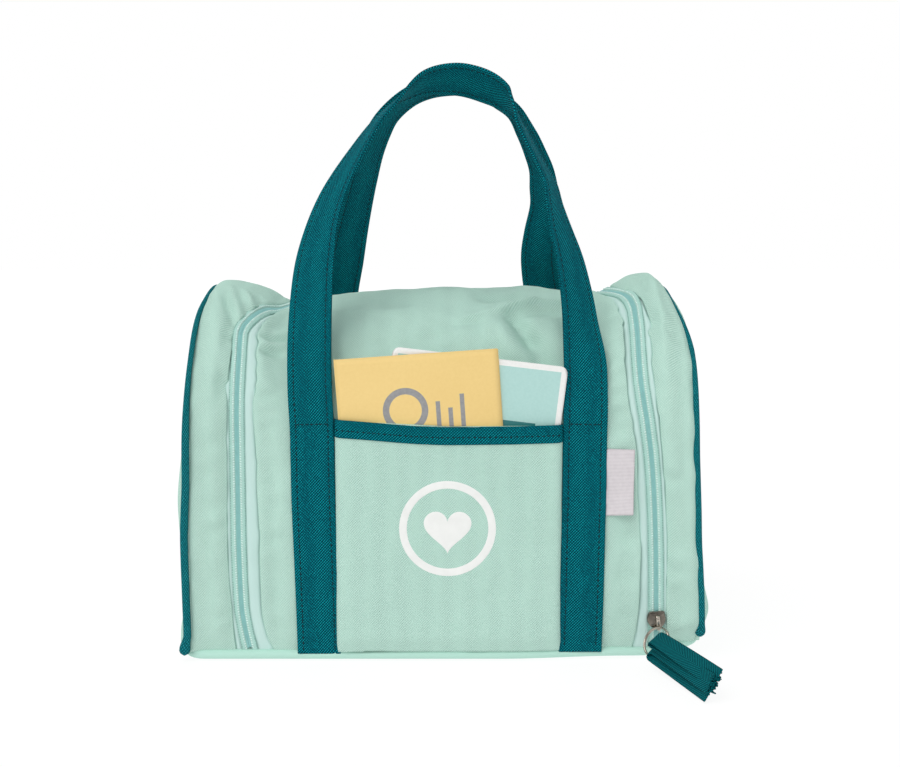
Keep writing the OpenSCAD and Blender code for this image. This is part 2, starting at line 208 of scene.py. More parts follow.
def fix_out(obj):
    """Makes a closed mesh's faces point outwards."""
    me = obj.data
    n = len(me.vertices)
    co = np.zeros(n * 3, np.float32)
    me.vertices.foreach_get("co", co)
    co = co.reshape(-1, 3)
    me.calc_loop_triangles()
    t = np.zeros(len(me.loop_triangles) * 3, np.int32)
    me.loop_triangles.foreach_get("vertices", t)
    t = t.reshape(-1, 3)
    a, b_, c = co[t[:, 0]], co[t[:, 1]], co[t[:, 2]]
    if np.einsum("ij,ij->i", a, np.cross(b_, c)).sum() < 0:
        me.flip_normals()
    return obj


def unit(v):
    v = np.asarray(v, float)
    return v / np.maximum(np.linalg.norm(v, axis=-1, keepdims=True), 1e-12)


def pchip(xs, ys):
    xs, ys = np.array(xs, float), np.array(ys, float)
    h, d = np.diff(xs), np.diff(ys) / np.diff(xs)
    m = np.zeros_like(ys)
    for i in range(1, len(xs) - 1):
        if d[i - 1] * d[i] > 0:
            w1, w2 = 2 * h[i] + h[i - 1], h[i] + 2 * h[i - 1]
            m[i] = (w1 + w2) / (w1 / d[i - 1] + w2 / d[i])
    m[0], m[-1] = d[0], d[-1]

    def f(x):
        x = np.clip(np.asarray(x, float), xs[0], xs[-1])
        i = np.clip(np.searchsorted(xs, x) - 1, 0, len(h) - 1)
        t = (x - xs[i]) / h[i]
        return ((2 * t**3 - 3 * t**2 + 1) * ys[i] + (t**3 - 2 * t**2 + t) * h[i] * m[i]
                + (-2 * t**3 + 3 * t**2) * ys[i + 1] + (t**3 - t**2) * h[i] * m[i + 1])

    return f


def smoothstep(a, b, x):
    t = np.clip((np.asarray(x, float) - a) / (b - a), 0, 1)
    return t * t * (3 - 2 * t)


def waves(seed, count, lmin, lmax, angle=None, spread=math.pi):
    """A smooth random field of the plane, about -1..1: a sum of sines."""
    g = np.random.default_rng(seed)
    lam = np.exp(g.uniform(np.log(lmin), np.log(lmax), count))
    th = g.uniform(0, math.pi, count) if angle is None else angle + g.uniform(-spread, spread, count)
    ph = g.uniform(0, 2 * math.pi, count)
    kx, ky = 2 * math.pi / lam * np.cos(th), 2 * math.pi / lam * np.sin(th)
    amp = 1.6 / math.sqrt(count)

    def f(x, y):
        out = np.zeros(np.broadcast(np.asarray(x), np.asarray(y)).shape)
        for a, b, c in zip(kx, ky, ph):
            out = out + np.sin(a * x + b * y + c)
        return out * amp * 0.7

    return f


def spline(points, n):
    """Points along a smooth curve through the given points, evenly spread by index."""
    p = np.asarray(points, float)
    flat = p.reshape(len(p), -1)
    d = np.r_[0, np.cumsum(np.maximum(np.linalg.norm(np.diff(flat, axis=0), axis=1), 1e-6))]
    m = np.zeros_like(flat)
    m[1:-1] = (flat[2:] - flat[:-2]) / (d[2:] - d[:-2])[:, None]
    m[0], m[-1] = (flat[1] - flat[0]) / (d[1] - d[0]), (flat[-1] - flat[-2]) / (d[-1] - d[-2])
    t = np.linspace(0, d[-1], n)
    i = np.clip(np.searchsorted(d, t, side="right") - 1, 0, len(d) - 2)
    h = (d[i + 1] - d[i])[:, None]
    u = ((t - d[i])[:, None]) / h
    out = ((2 * u**3 - 3 * u**2 + 1) * flat[i] + (u**3 - 2 * u**2 + u) * h * m[i]
           + (-2 * u**3 + 3 * u**2) * flat[i + 1] + (u**3 - u**2) * h * m[i + 1])
    return out.reshape((n,) + p.shape[1:])


def stadium(half_w, half_t, n_flat=8, n_round=6):
    """A flat strip's cross-section with round edges, as (w, t) pairs, starting on the underside."""
    r = half_t
    a = np.linspace(-math.pi / 2, math.pi / 2, n_round + 1)
    right = np.stack([half_w - r + r * np.cos(a), r * np.sin(a)], 1)
    left = -right
    top = np.stack([np.linspace(half_w - r, -(half_w - r), n_flat + 1)[1:-1], np.full(n_flat - 1, r)], 1)
    bottom = np.stack([np.linspace(-(half_w - r), half_w - r, n_flat + 1)[1:-1], np.full(n_flat - 1, -r)], 1)
    return np.concatenate([bottom[len(bottom) // 2:], right, top, left, bottom[:len(bottom) // 2]])


def dashes(build, at, along, up, length, width, height, segs=6):
    """Small thread dashes: half sunk pills at points, lying along a direction."""
    at, along, up = np.asarray(at, float), unit(along), unit(up)
    side = unit(np.cross(up, along))
    up = np.cross(along, side)
    n = len(at)
    length = np.broadcast_to(np.asarray(length, float), n)
    ring_t = np.array([-0.5, -0.36, 0.0, 0.36, 0.5])
    ring_r = np.array([0.35, 0.85, 1.0, 0.85, 0.35])
    lift = np.array([-0.5, 0.0, 0.25, 0.0, -0.5])
    a = np.arange(segs) / segs * 2 * math.pi
    P = (at[:, None, None, :]
         + along[:, None, None, :] * (ring_t[None, :, None, None] * length[:, None, None, None])
         + side[:, None, None, :] * (ring_r[None, :, None, None] * np.cos(a)[None, None, :, None] * width / 2)
         + up[:, None, None, :] * (ring_r[None, :, None, None] * np.sin(a)[None, None, :, None] * height / 2
                                   + lift[None, :, None, None] * height * 0.5))
    base = np.arange(n)[:, None, None] * (5 * segs)
    q = grid_quads(5, segs, False, True)[None] + base
    j = np.arange(segs)
    fan0 = np.stack([np.zeros(segs - 2, int), np.arange(2, segs), np.arange(1, segs - 1)], 1)
    fan1 = np.stack([np.full(segs - 2, 4 * segs), 4 * segs + np.arange(1, segs - 1), 4 * segs + np.arange(2, segs)], 1)
    t = np.concatenate([fan0, fan1])[None] + base
    build.add(P.reshape(-1, 3), q.reshape(-1, 4), t.reshape(-1, 3))


def tube_path(build, path, radius, segs=16, uv_scale=1.0, flat_up=None):
    """A round tube along a path, with a radius per point. Returns nothing."""
    path = np.asarray(path, float)
    radius = np.broadcast_to(np.asarray(radius, float), len(path))
    tan = np.gradient(path, axis=0)
    tan = unit(tan)
    ref = np.array([1.0, 0, 0]) if flat_up is None else np.asarray(flat_up, float)
    n0 = unit(ref - (tan @ ref)[:, None] * tan)
    b0 = np.cross(tan, n0)
    a = np.arange(segs) / segs * 2 * math.pi
    P = path[:, None] + radius[:, None, None] * (np.cos(a)[None, :, None] * n0[:, None] + np.sin(a)[None, :, None] * b0[:, None])
    d = np.r_[0, np.cumsum(np.linalg.norm(np.diff(path, axis=0), axis=1))]
    uv = np.stack([np.broadcast_to(a[None] * radius.max(), (len(path), segs)), np.broadcast_to(d[:, None], (len(path), segs))], -1) * uv_scale
    build.loft(P, uv, flip=True)


# ---------------------------------------------------------------- material helpers
def new_mat(name):
    mat = bpy.data.materials.new(name)
    mat.use_nodes = True
    nt = mat.node_tree
    return mat, nt, nt.nodes["Principled BSDF"]


class Nodes:
    def __init__(self, nt):
        self.nt = nt

    def new(self, kind, **kw):
        n = self.nt.nodes.new(kind)
        for k, v in kw.items():
            setattr(n, k, v)
        return n

    def math(self, op, a, b=None, c=None):
        n = self.new("ShaderNodeMath", operation=op)
        for i, v in enumerate((a, b, c)):
            if v is None:
                continue
            if isinstance(v, (int, float)):
                n.inputs[i].default_value = v
            else:
                self.nt.links.new(v, n.inputs[i])
        return n.outputs[0]

    def ramp(self, fac, stops, interp="LINEAR"):
        n = self.new("ShaderNodeValToRGB")
        n.color_ramp.interpolation = interp
        el = n.color_ramp.elements
        while len(el) < len(stops):
            el.new(0.5)
        for e, (p, c) in zip(el, stops):
            e.position = p
            e.color = (*c, 1) if len(c) == 3 else c
        self.nt.links.new(fac, n.inputs[0])
        return n.outputs[0]

    def mix(self, fac, a, b, blend="MIX"):
        n = self.new("ShaderNodeMix", data_type="RGBA", blend_type=blend)
        for key, v in (("Factor", fac), ("A", a), ("B", b)):
            s = next(i for i in n.inputs if i.name == key and i.type == ("VALUE" if key == "Factor" else "RGBA"))
            if isinstance(v, (int, float)):
                s.default_value = v
            elif isinstance(v, tuple):
                s.default_value = (*v, 1)
            else:
                self.nt.links.new(v, s)
        return next(o for o in n.outputs if o.type == "RGBA")

    def noise(self, vec, scale, detail=2.0, rough=0.5):
        n = self.new("ShaderNodeTexNoise")
        n.inputs["Scale"].default_value = scale
        n.inputs["Detail"].default_value = detail
        n.inputs["Roughness"].default_value = rough
        self.nt.links.new(vec, n.inputs["Vector"])
        return n.outputs["Fac"]

    def uv(self):
        n = self.new("ShaderNodeUVMap", uv_map="weave")
        s = self.new("ShaderNodeSeparateXYZ")
        self.nt.links.new(n.outputs[0], s.inputs[0])
        return s.outputs[0], s.outputs[1], n.outputs[0]

    def obj(self):
        return self.new("ShaderNodeTexCoord").outputs["Object"]

    def bump(self, height, distance, strength=1.0, normal=None):
        n = self.new("ShaderNodeBump")
        n.inputs["Strength"].default_value = strength
        n.inputs["Distance"].default_value = distance
        self.nt.links.new(height, n.inputs["Height"])
        if normal is not None:
            self.nt.links.new(normal, n.inputs["Normal"])
        return n.outputs[0]


def cloth_mat(name, dark, mid, light, pitch, bump_mm, rough=0.85, sheen=0.0, sheen_tint=(1, 1, 1), diag=0.55,
              blotch=0.05, contrast=1.0, spec=0.3):
    """An oxford weave: rows of floats on a diagonal lattice, with a soft change of tone across the cloth."""
    mat, nt, bsdf = new_mat(name)
    N = Nodes(nt)
    u, v, vec = N.uv()
    k = 2 * math.pi / pitch
    # the threads wander a little, so that the lattice isn't perfect
    wob = N.noise(N.obj(), 60.0, 2.0)
    wob = N.math("MULTIPLY", N.math("SUBTRACT", wob, 0.5), 5.0)
    wob = N.math("MULTIPLY_ADD", N.math("SUBTRACT", N.noise(N.obj(), 420.0, 1.0), 0.5), 2.2, wob)
    su = N.math("SINE", N.math("MULTIPLY_ADD", u, k, wob))
    sv = N.math("SINE", N.math("MULTIPLY_ADD", v, k, wob))
    basket = N.math("MULTIPLY", su, sv)
    twill = N.math("SINE", N.math("MULTIPLY_ADD", N.math("SUBTRACT", N.math("MULTIPLY", u, 1.12), v), k, wob))
    w = N.math("ADD", N.math("MULTIPLY", basket, 1 - diag), N.math("MULTIPLY", twill, diag * 0.8))
    fine = N.noise(N.obj(), 1900.0, 2.0, 0.6)
    h = N.math("ADD", w, N.math("MULTIPLY", N.math("SUBTRACT", fine, 0.5), 1.5))
    fac = N.math("MULTIPLY_ADD", h, 0.30 * contrast, 0.5)
    col = N.ramp(fac, [(0.0, dark), (0.5, mid), (1.0, light)])
    tone = N.noise(N.obj(), 22.0, 3.0, 0.55)
    tone = N.math("MULTIPLY_ADD", N.math("SUBTRACT", tone, 0.5), 2 * blotch, 1.0)
    tn = N.new("ShaderNodeCombineColor")
    for i in range(3):
        nt.links.new(tone, tn.inputs[i])
    col = N.mix(1.0, col, tn.outputs[0], "MULTIPLY")
    nt.links.new(col, bsdf.inputs["Base Color"])
    nt.links.new(N.bump(h, bump_mm * 0.001, 1.0), bsdf.inputs["Normal"])
    bsdf.inputs["Roughness"].default_value = rough
    bsdf.inputs["Specular IOR Level"].default_value = spec
    if sheen:
        bsdf.inputs["Sheen Weight"].default_value = sheen
    bsdf.inputs["Sheen Roughness"].default_value = 0.5
    bsdf.inputs["Sheen Tint"].default_value = (*sheen_tint, 1)
    return mat


MINT = (0.475, 0.715, 0.615)
canvas = cloth_mat("mint_canvas", (0.312, 0.545, 0.460), (0.464, 0.688, 0.597), (0.63, 0.825, 0.745), 1.35, 0.12,
                   rough=0.9, diag=0.55, blotch=0.04, contrast=1.45, spec=0.10)
base_cloth = cloth_mat("mint_base_cloth", (0.410, 0.680, 0.580), (0.474, 0.741, 0.640), (0.535, 0.78, 0.69), 1.3, 0.05,
                       rough=0.85, diag=0.3, blotch=0.03, contrast=0.5, spec=0.15)
lining_mat = cloth_mat("mint_lining", (0.34, 0.56, 0.47), (0.40, 0.63, 0.54), (0.46, 0.70, 0.60), 0.9, 0.04,
                       rough=0.8, diag=0.2, contrast=0.7, spec=0.15)
webbing = cloth_mat("teal_webbing", (0.0, 0.022, 0.034), (0.0, 0.073, 0.099), (0.003, 0.355, 0.415), 1.48, 0.2,
                    rough=0.9, diag=0.45, blotch=0.07, contrast=2.2, spec=0.06)
piping_mat = cloth_mat("teal_piping", (0.0, 0.030, 0.042), (0.001, 0.108, 0.132), (0.03, 0.42, 0.45), 1.9, 0.2,
                       rough=0.9, diag=0.6, contrast=2.2, spec=0.08)
tape_mat = cloth_mat("zip_tape_cloth", (0.49, 0.70, 0.645), (0.545, 0.745, 0.70), (0.60, 0.79, 0.75), 0.8, 0.03,
                     rough=0.75, diag=0.8, blotch=0.02, contrast=0.5, spec=0.2)


def thread_mat(name, colour, rough=0.6):
    mat, nt, bsdf = new_mat(name)
    N = Nodes(nt)
    n = N.noise(N.obj(), 1800.0, 2.0)
    c = N.ramp(n, [(0.3, tuple(x * 0.75 for x in colour)), (0.7, tuple(min(1, x * 1.2) for x in colour))])
    nt.links.new(c, bsdf.inputs["Base Color"])
    nt.links.new(N.bump(n, 0.0001, 0.8), bsdf.inputs["Normal"])
    bsdf.inputs["Roughness"].default_value = rough
    bsdf.inputs["Specular IOR Level"].default_value = 0.15
    return mat


dark_thread = thread_mat("dark_thread", (0.006, 0.032, 0.040), 0.85)
pale_thread = thread_mat("pale_thread", (0.67, 0.85, 0.79), 0.75)
# dark mint thread for the coil's outer stitch row: its colour is painted shade, so that the channel beside the coil
# reads darker
painted_shade_thread = thread_mat("painted_shade_thread", (0.30, 0.52, 0.46), 0.7)


def plain_mat(name, colour, rough=0.5, metallic=0.0, vary=0.06, scale=60.0, bump_mm=0.0, bump_scale=900.0, coat=0.0, spec=0.5):
    mat, nt, bsdf = new_mat(name)
    N = Nodes(nt)
    n = N.noise(N.obj(), scale, 3.0)
    c = N.ramp(n, [(0.25, tuple(x * (1 - vary) for x in colour)), (0.75, tuple(min(1, x * (1 + vary)) for x in colour))])
    nt.links.new(c, bsdf.inputs["Base Color"])
    if bump_mm:
        nt.links.new(N.bump(N.noise(N.obj(), bump_scale, 3.0), bump_mm * 0.001, 1.0), bsdf.inputs["Normal"])
    bsdf.inputs["Roughness"].default_value = rough
    bsdf.inputs["Metallic"].default_value = metallic
    bsdf.inputs["Coat Weight"].default_value = coat
    bsdf.inputs["Specular IOR Level"].default_value = spec
    return mat


nickel = plain_mat("nickel_plate", (0.47, 0.42, 0.36), rough=0.2, metallic=1.0, vary=0.25, scale=260.0, bump_mm=0.006, bump_scale=900.0)
# a darker copy of the nickel plate for the slider's shield: painted shade, standing in for the darker reflections the
# shield shows
dark_nickel = plain_mat("shaded_nickel", (0.20, 0.178, 0.15), rough=0.26, metallic=1.0, vary=0.35, scale=240.0, bump_mm=0.006, bump_scale=900.0)
coil_mat = plain_mat("zip_coil_nylon", (0.40, 0.645, 0.575), rough=0.5, vary=0.05, scale=300.0, spec=0.3)
teeth_mat = plain_mat("zip_teeth_nylon", (0.275, 0.55, 0.53), rough=0.45, vary=0.05, scale=400.0, spec=0.3)
board_mat = plain_mat("grey_board", (0.30, 0.30, 0.28), rough=0.8, vary=0.1, bump_mm=0.05)
print_mat = plain_mat("white_transfer", (0.84, 0.85, 0.83), rough=0.55, vary=0.03, scale=200.0, bump_mm=0.02, bump_scale=1400.0)

# ---------------------------------------------------------------- places seen by the camera


def seen_at(u, v, y):
    """The point (mm) at depth y that the photograph shows at pixel (u, v)."""
    ca, sa = math.cos(math.radians(6.4)), math.sin(math.radians(6.4))
    k = (v - 383.5) / 1429.0
    d = y + 775.0
    h = (k * d * ca + d * sa) / (ca - k * sa)
    return np.array([3.7 + (u - 450.0) / 1429.0 * (d * ca + h * sa), y, 218.5 - h])


# ---------------------------------------------------------------- the bag's surface
# The section is measured along the canvas: up the front wall, over the barrel
# and down the back wall. x runs along the bag, n is the height off the canvas.
R, WH, RIM = 75.0, 117.0, 5.0
LW, LA = WH - RIM, math.pi * R
LT = 2 * LW + LA
TOP = LT / 2

crest = pchip(
    [-130, -124, -121.5, -117, -113, -105, -100, -95, -91, -86, -80, -70, -61, -40, 0, 42, 60, 75, 82, 86, 90, 95, 102, 110, 114, 118, 121.5, 125, 130],
    [182.5, 185, 186.3, 188.0, 187.8, 186.2, 185.0, 183.0, 180.8, 178, 177, 178, 178.7, 181.2, 183.6, 184, 183, 181.7, 181.6, 183, 184.9, 187.0, 190.6, 191.8, 188.4, 185.2, 181.4, 177, 172])


def surf(x, s, n=0.0):
    x, s, n = np.broadcast_arrays(np.asarray(x, float), np.asarray(s, float), np.asarray(n, float))
    a = np.clip((s - LW) / R, 0, np.pi)
    k = (crest(x) - WH) / R
    y = -R * np.cos(a)
    z = WH + R * k * np.sin(a) + np.minimum(s - LW, 0) - np.maximum(s - LW - LA, 0)
    ny, nz = -k * np.cos(a), np.sin(a)
    l = np.hypot(ny, nz)
    y, z = y + n * ny / l, z + n * nz / l
    # the right end of the front's foot draws back and up a little
    low = np.where(s < TOP, 1 - smoothstep(0, 17, z), 0)
    back = 2.5 * smoothstep(30, 90, x) + 5.0 * smoothstep(96, 130, x)
    up = 0.9 * smoothstep(30, 95, x) + 3.4 * smoothstep(104, 130, x)
    y = y + back * low
    z = z + up * np.where(s < TOP, 1 - smoothstep(2, 40, z), 0)
    return np.stack([x, y, z], -1)


def surf_up(x, s):
    """Outward direction of the canvas."""
    return unit(surf(x, s, 1.0) - surf(x, s, 0.0))


# Zip lines, at the middle of the coil, by distance along the section. The
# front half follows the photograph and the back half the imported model.
BACK_S = [247, 269, 286, 302, 320, 340, 371, 413, 459.6]
BACK_X = [87.2, 91.6, 94.8, 97.4, 99.8, 102.0, 103.9, 106.0, 108.1]
zip_right = pchip([0, 15, 25.5, 46, 71.5, 88, 101.5, 108.5, 118.5, 127, 139.5, 153, 170, 182.5, 192, 201, 208, 216, 229.8] + BACK_S,
                  [107.8, 107.4, 107.2, 106.8, 105.8, 104.7, 103.4, 102.4, 101, 99.7, 98.4, 98, 98.2, 98.2, 97.4, 95.4, 92.6, 89.4, 86] + BACK_X)
zip_left = pchip([0, 10, 22.5, 45, 56.5, 90, 128, 153, 160, 168, 173.4, 180.3, 188.2, 197, 203, 208, 216, 229.8] + BACK_S,
                 [-97, -99.2, -101, -101.8, -102, -102, -102, -101.9, -102.1, -102.2, -101.4, -99.0, -95.7, -91.5, -87.6, -84.4, -81, -78.5] + [-83, -90.3] + [-x for x in BACK_X[2:]])
fold_right_body = pchip([0, 8, 27, 45.5, 69.5, 85, 97, 106, 117, 128.5, 151.5, 164.5, 172, 176, 181, 189.5, 197.5, 205, 212, 229.8, 260, 302, 340, 400, 459.6],
                        [96, 97.3, 98.5, 99, 98, 97, 96.5, 95.8, 94, 92, 91, 91, 92, 91.9, 91.4, 90.6, 89.2, 87.2, 84.4, 80, 81.5, 90, 94.5, 98, 99.5])
fold_left_body = pchip([0, 6, 22.5, 56.5, 100, 128.5, 136.5, 140.5, 148, 157.5, 166.5, 171.3, 179.6, 187.9, 197, 203.6, 210, 229.8, 260, 302, 340, 400, 459.6],
                       [-85.2, -88.2, -91, -91.5, -92.6, -94, -93.9, -92.2, -93, -93.5, -93.7, -94.0, -92.2, -89.2, -86.4, -82.6, -79.0, -73.0, -79.5, -90, -94.5, -98, -99.5])
fold_right_end = pchip([0, 9, 25.5, 45.5, 71.5, 87.5, 101, 117, 127.5, 139.5, 148.5, 152.5, 160, 165, 168, 176, 186, 194.5, 201, 208, 218, 229.8, 250, 302, 340, 400, 459.6],
                       [113.2, 112.6, 112.2, 112.6, 111.5, 110, 109, 107, 106, 105, 104, 104.8, 104.6, 103.2, 104, 103.4, 102.6, 100.8, 98.4, 95.2, 92.2, 91, 92.8, 102.6, 107, 110.5, 113.2])
fold_left_end = pchip([0, 9.5, 22.5, 35, 56, 100, 128, 142, 150, 155.5, 160, 166, 174.4, 183.5, 190, 197, 205.5, 210.3, 217, 229.8, 260, 302, 340, 400, 459.6],
                      [-104, -105, -106, -107, -107.5, -107, -106.6, -106.6, -106, -105.7, -105.6, -105.5, -104.2, -100.4, -97.4, -94.0, -88.8, -86.4, -84.0, -82.5, -92.5, -102.8, -107.5, -111.2, -113.4])
PIPE = {1: pchip([0, 18, 32, 46, 61, 76, 91, 107, 131, 149, 160, 169, 176, 183, 190],
                 [130, 130, 129.6, 128.8, 127.8, 127.3, 126.6, 125.9, 125.5, 125.6, 125.4, 124.2, 121.9, 118.8, 117.6]),
        -1: pchip([0, 7, 13, 32, 61, 76, 91, 107, 131, 142, 156, 165, 176, 183, 190],
                  [130.2, 129.4, 128.2, 128.5, 128.9, 128.3, 127.5, 127.3, 126.5, 126.1, 125.5, 125.3, 124.7, 123.4, 122.4])}


def sec_z(s):
    a = np.clip((s - LW) / R, 0, np.pi)
    return WH + 70 * np.sin(a) + np.minimum(s - LW, 0) - np.maximum(s - LW - LA, 0)


def pipe_x(side, s):
    """Distance of the piping's middle from the bag's middle."""
    return PIPE[side](sec_z(s))


def seam_x(side, s):
    """Where the gusset meets the piping."""
    z = sec_z(s)
    return pipe_x(side, s) - (0.75 + 0.5 * smoothstep(105, 150, z) * (1 - smoothstep(179, 185, z)) if side > 0 else 1.5)


def seg_bump(x, s, p, q, width, amp, taper=0.25):
    """A soft ridge or valley along the segment from p to q in the (x, s) plane."""
    p, q = np.array(p, float), np.array(q, float)
    d = q - p
    L = np.linalg.norm(d)
    t = ((x - p[0]) * d[0] + (s - p[1]) * d[1]) / L**2
    e = ((x - p[0]) * -d[1] + (s - p[1]) * d[0]) / L
    tt = np.clip(t, 0, 1)
    end = ((t - tt) * L) ** 2
    along = smoothstep(-taper, taper, t) * (1 - smoothstep(1 - taper, 1 + taper, t))
    return amp * np.exp(-(e / width) ** 2 - end / (width * 1.5) ** 2) * along


def with_notches(base, side_out, spots):
    """The fold line base with small sharp breaks: each spot is (s, half length, how far it shifts outwards)."""
    def f(s):
        out = base(s)
        for s0, half, amp in spots:
            t = (np.asarray(s, float) - s0) / half
            out = out + side_out * amp * np.where(t < 0, np.exp(-(t * 1.0) ** 2), np.exp(-(t * 3.2) ** 2))
        return out
    return f


fold_left_body = with_notches(fold_left_body, 1, [(136.5, 5.0, 1.1), (152, 4.0, 0.6), (165.5, 4.0, 0.9), (176, 4.0, 0.8), (96, 6.0, 0.4), (60, 6.0, 0.35)])
fold_right_body = with_notches(fold_right_body, -1, [(173, 4.0, 1.0), (150, 5.0, 0.5), (112, 6.0, 0.5), (80, 7.0, 0.4), (187, 4.0, 0.7)])
fold_left_end = with_notches(fold_left_end, -1, [(165, 5.0, 0.7), (136, 6.0, 1.0), (108, 5.0, 0.4)])
fold_right_end = with_notches(fold_right_end, 1, [(169.5, -13.0, 1.7), (150, 4.0, 0.6), (118, 6.0, 0.5), (86, 6.0, 0.4)])

n_low = waves(3, 14, 45, 110)
n_mid = waves(5, 22, 16, 38)
n_fine = waves(8, 26, 7, 15)
n_pucker = waves(11, 12, 9, 26, math.pi / 2, 0.35)


def relief_body(x, s):
    """Height of the canvas between the zips over the plain section."""
    x, s = np.broadcast_arrays(np.asarray(x, float), np.asarray(s, float))
    front = s < TOP
    wall = np.where(front, s, LT - s)
    d = 0.55 * n_low(x, s) + 0.30 * n_mid(x, s) + 0.05 * n_fine(x, s)
    # close to the zips the cloth is gathered by the seam
    el = x - fold_left_body(s)
    er = fold_right_body(s) - x
    edge = np.minimum(el, er)
    d = d + 0.42 * n_pucker(x * 0.5, s) * np.exp(-((edge - 6.0) / 6.0) ** 2)
    d = d + 0.50 * np.exp(-((edge - 2.8) / 2.6) ** 2) - 0.30 * np.exp(-((edge - 8.5) / 3.0) ** 2) + 0.45 * np.exp(-(edge / 3.0) ** 2)
    # long soft folds
    for p, q, w, a in FOLDS_BODY:
        d = d + seg_bump(x, s, p, q, w, a)
    # flat behind the pocket and what it holds, and tight at the foot
    pocket = smoothstep(-58, -50, x) * (1 - smoothstep(57, 64, x)) * (1 - smoothstep(118, 150, s)) * front
    d = d * (1 - pocket) - 0.5 * pocket
    d = d * smoothstep(-2, 16, wall) - 0.6 * (1 - smoothstep(0, 9, wall))
    return d


FOLDS_BODY = [
    # across the top, from behind the right handle towards the middle
    ((8, 180), (31, 189), 2.3, 1.8), ((29, 188.2), (47.5, 197.0), 2.2, 3.3), ((46, 196.5), (68, 198.5), 2.8, 2.6),
    ((34.5, 187), (45, 165), 4.6, -5.6), ((44, 168), (52, 144), 5.5, -5.0), ((41, 187), (62, 189), 4.4, -3.0),
    ((25, 178), (36, 154), 5.0, 2.4), ((57, 182), (60, 158), 4.5, 1.4), ((20, 202), (44, 208), 5.0, -3.2),
    ((0, 177), (20, 178), 4.0, -1.7), ((-12, 167), (2, 167), 4.0, -1.4),
    ((-50, 166), (-22, 165), 8.0, -1.0), ((-58, 198), (-20, 186), 6.0, 1.4), ((-50, 210), (-10, 198), 8.0, -1.4), ((-20, 214), (20, 210), 8.0, 1.2),
    # between the left zip and the left strap
    ((-86, 177), (-72, 178), 2.8, 1.5), ((-92, 171), (-76, 172), 2.3, -1.6), ((-91, 166), (-76, 167), 2.2, 1.5), ((-91, 160), (-80, 161), 3.0, -1.6), ((-80, 160), (-79, 120), 4.5, -1.1),
    ((-86, 148), (-84, 96), 3.5, 0.6), ((-80, 60), (-82, 20), 4.0, -0.5),
    # between the right strap and the right zip
    ((86, 176), (84, 130), 3.5, 0.8), ((84, 60), (90, 100), 4.0, 0.7), ((93, 62), (88, 34), 3.0, -0.5),
]


# places where the end canvas is drawn down beside the zip, and a deep gap shows: (s, reach, depth)
SLITS = {1: [(178.0, 9.0, 1.2)], -1: [(164.0, 7.0, 1.3), (136.0, 6.0, 1.0)]}


def relief_end(side):
    """Height of the canvas between a zip and its end seam."""
    fold = fold_right_end if side > 0 else fold_left_end
    g_mid, g_puck = waves(21 + side, 20, 14, 34), waves(31 + side, 12, 8, 22, math.pi / 2, 0.3)
    folds = ENDS[side]

    def f(x, s):
        x, s = np.broadcast_arrays(np.asarray(x, float), np.asarray(s, float))
        wall = np.where(s < TOP, s, LT - s)
        e = side * x - side * fold(s)
        rest = seam_x(side, s) - side * x
        width = np.maximum(seam_x(side, s) - side * fold(s), 4)
        t = np.clip(e / width, 0, 1)
        ridge = 1 - 0.85 * np.exp(-((s - TOP) / 30) ** 2)
        d = (1.3 * np.sin(math.pi * t) ** 0.8 + 0.30 * g_mid(x, s)) * ridge
        d = d + 0.32 * g_puck(x * 0.5, s) * np.exp(-((e - 5.0) / 4.5) ** 2) * ridge
        # a roll down into the zip, and a tight draw at the end seam
        r = 2.6
        c = np.clip(r - e, 0, r)
        d = d - 0.42 * (r - np.sqrt(np.maximum(r * r - c * c, 0)))
        # plump behind the fold, so that the zip lies in a furrow
        d = d + 0.9 * np.exp(-((e - 6.0) / 4.5) ** 2) * ridge
        d = d - (0.25 if side > 0 else 0.7) * np.exp(-np.maximum(rest, 0) / 1.3)
        if side > 0:
            d = d + 0.9 * np.exp(-((rest - 2.5) / 2.6) ** 2)
        for p, q, w, a in folds:
            d = d + seg_bump(x, s, p, q, w, a)
        for sc_, wd_, dp_ in SLITS[side]:
            d = d - 0.8 * dp_ * np.exp(-((s - sc_) / (wd_ * 0.8)) ** 2) * np.exp(-(np.maximum(e, 0) / 2.4) ** 2)
        d = d * smoothstep(-3, 14, wall) - 0.5 * (1 - smoothstep(0, 9, wall))
        return d

    return f


ENDS = {
    -1: [((-111.5, 208), (-102.5, 178), 2.1, 1.3), ((-105, 208), (-96, 188), 2.0, 1.0), ((-112.8, 196), (-106, 172), 2.5, -2.3),
         ((-105.5, 200), (-101, 184), 3.4, -1.2), ((-98, 206), (-93, 194), 3.0, -1.2), ((-118, 205), (-115, 170), 4.0, 1.0), ((-108.5, 172), (-109, 156), 2.4, -1.3),
         ((-109.5, 144), (-110, 128), 3.0, -1.8), ((-116, 150), (-118, 96), 4.5, 0.9), ((-114, 60), (-116, 30), 5.0, -0.7)],
    1: [((104, 214), (103, 194), 3.2, -1.6), ((110.5, 212), (108, 184), 4.0, 1.3), ((107, 178), (106.5, 160), 2.6, -1.6),
        ((114, 200), (113, 150), 5.0, 0.7), ((116, 34), (120, 14), 5.0, -1.8), ((112, 80), (114, 48), 3.0, -0.5)],
}

# ---------------------------------------------------------------- canvas between the zips


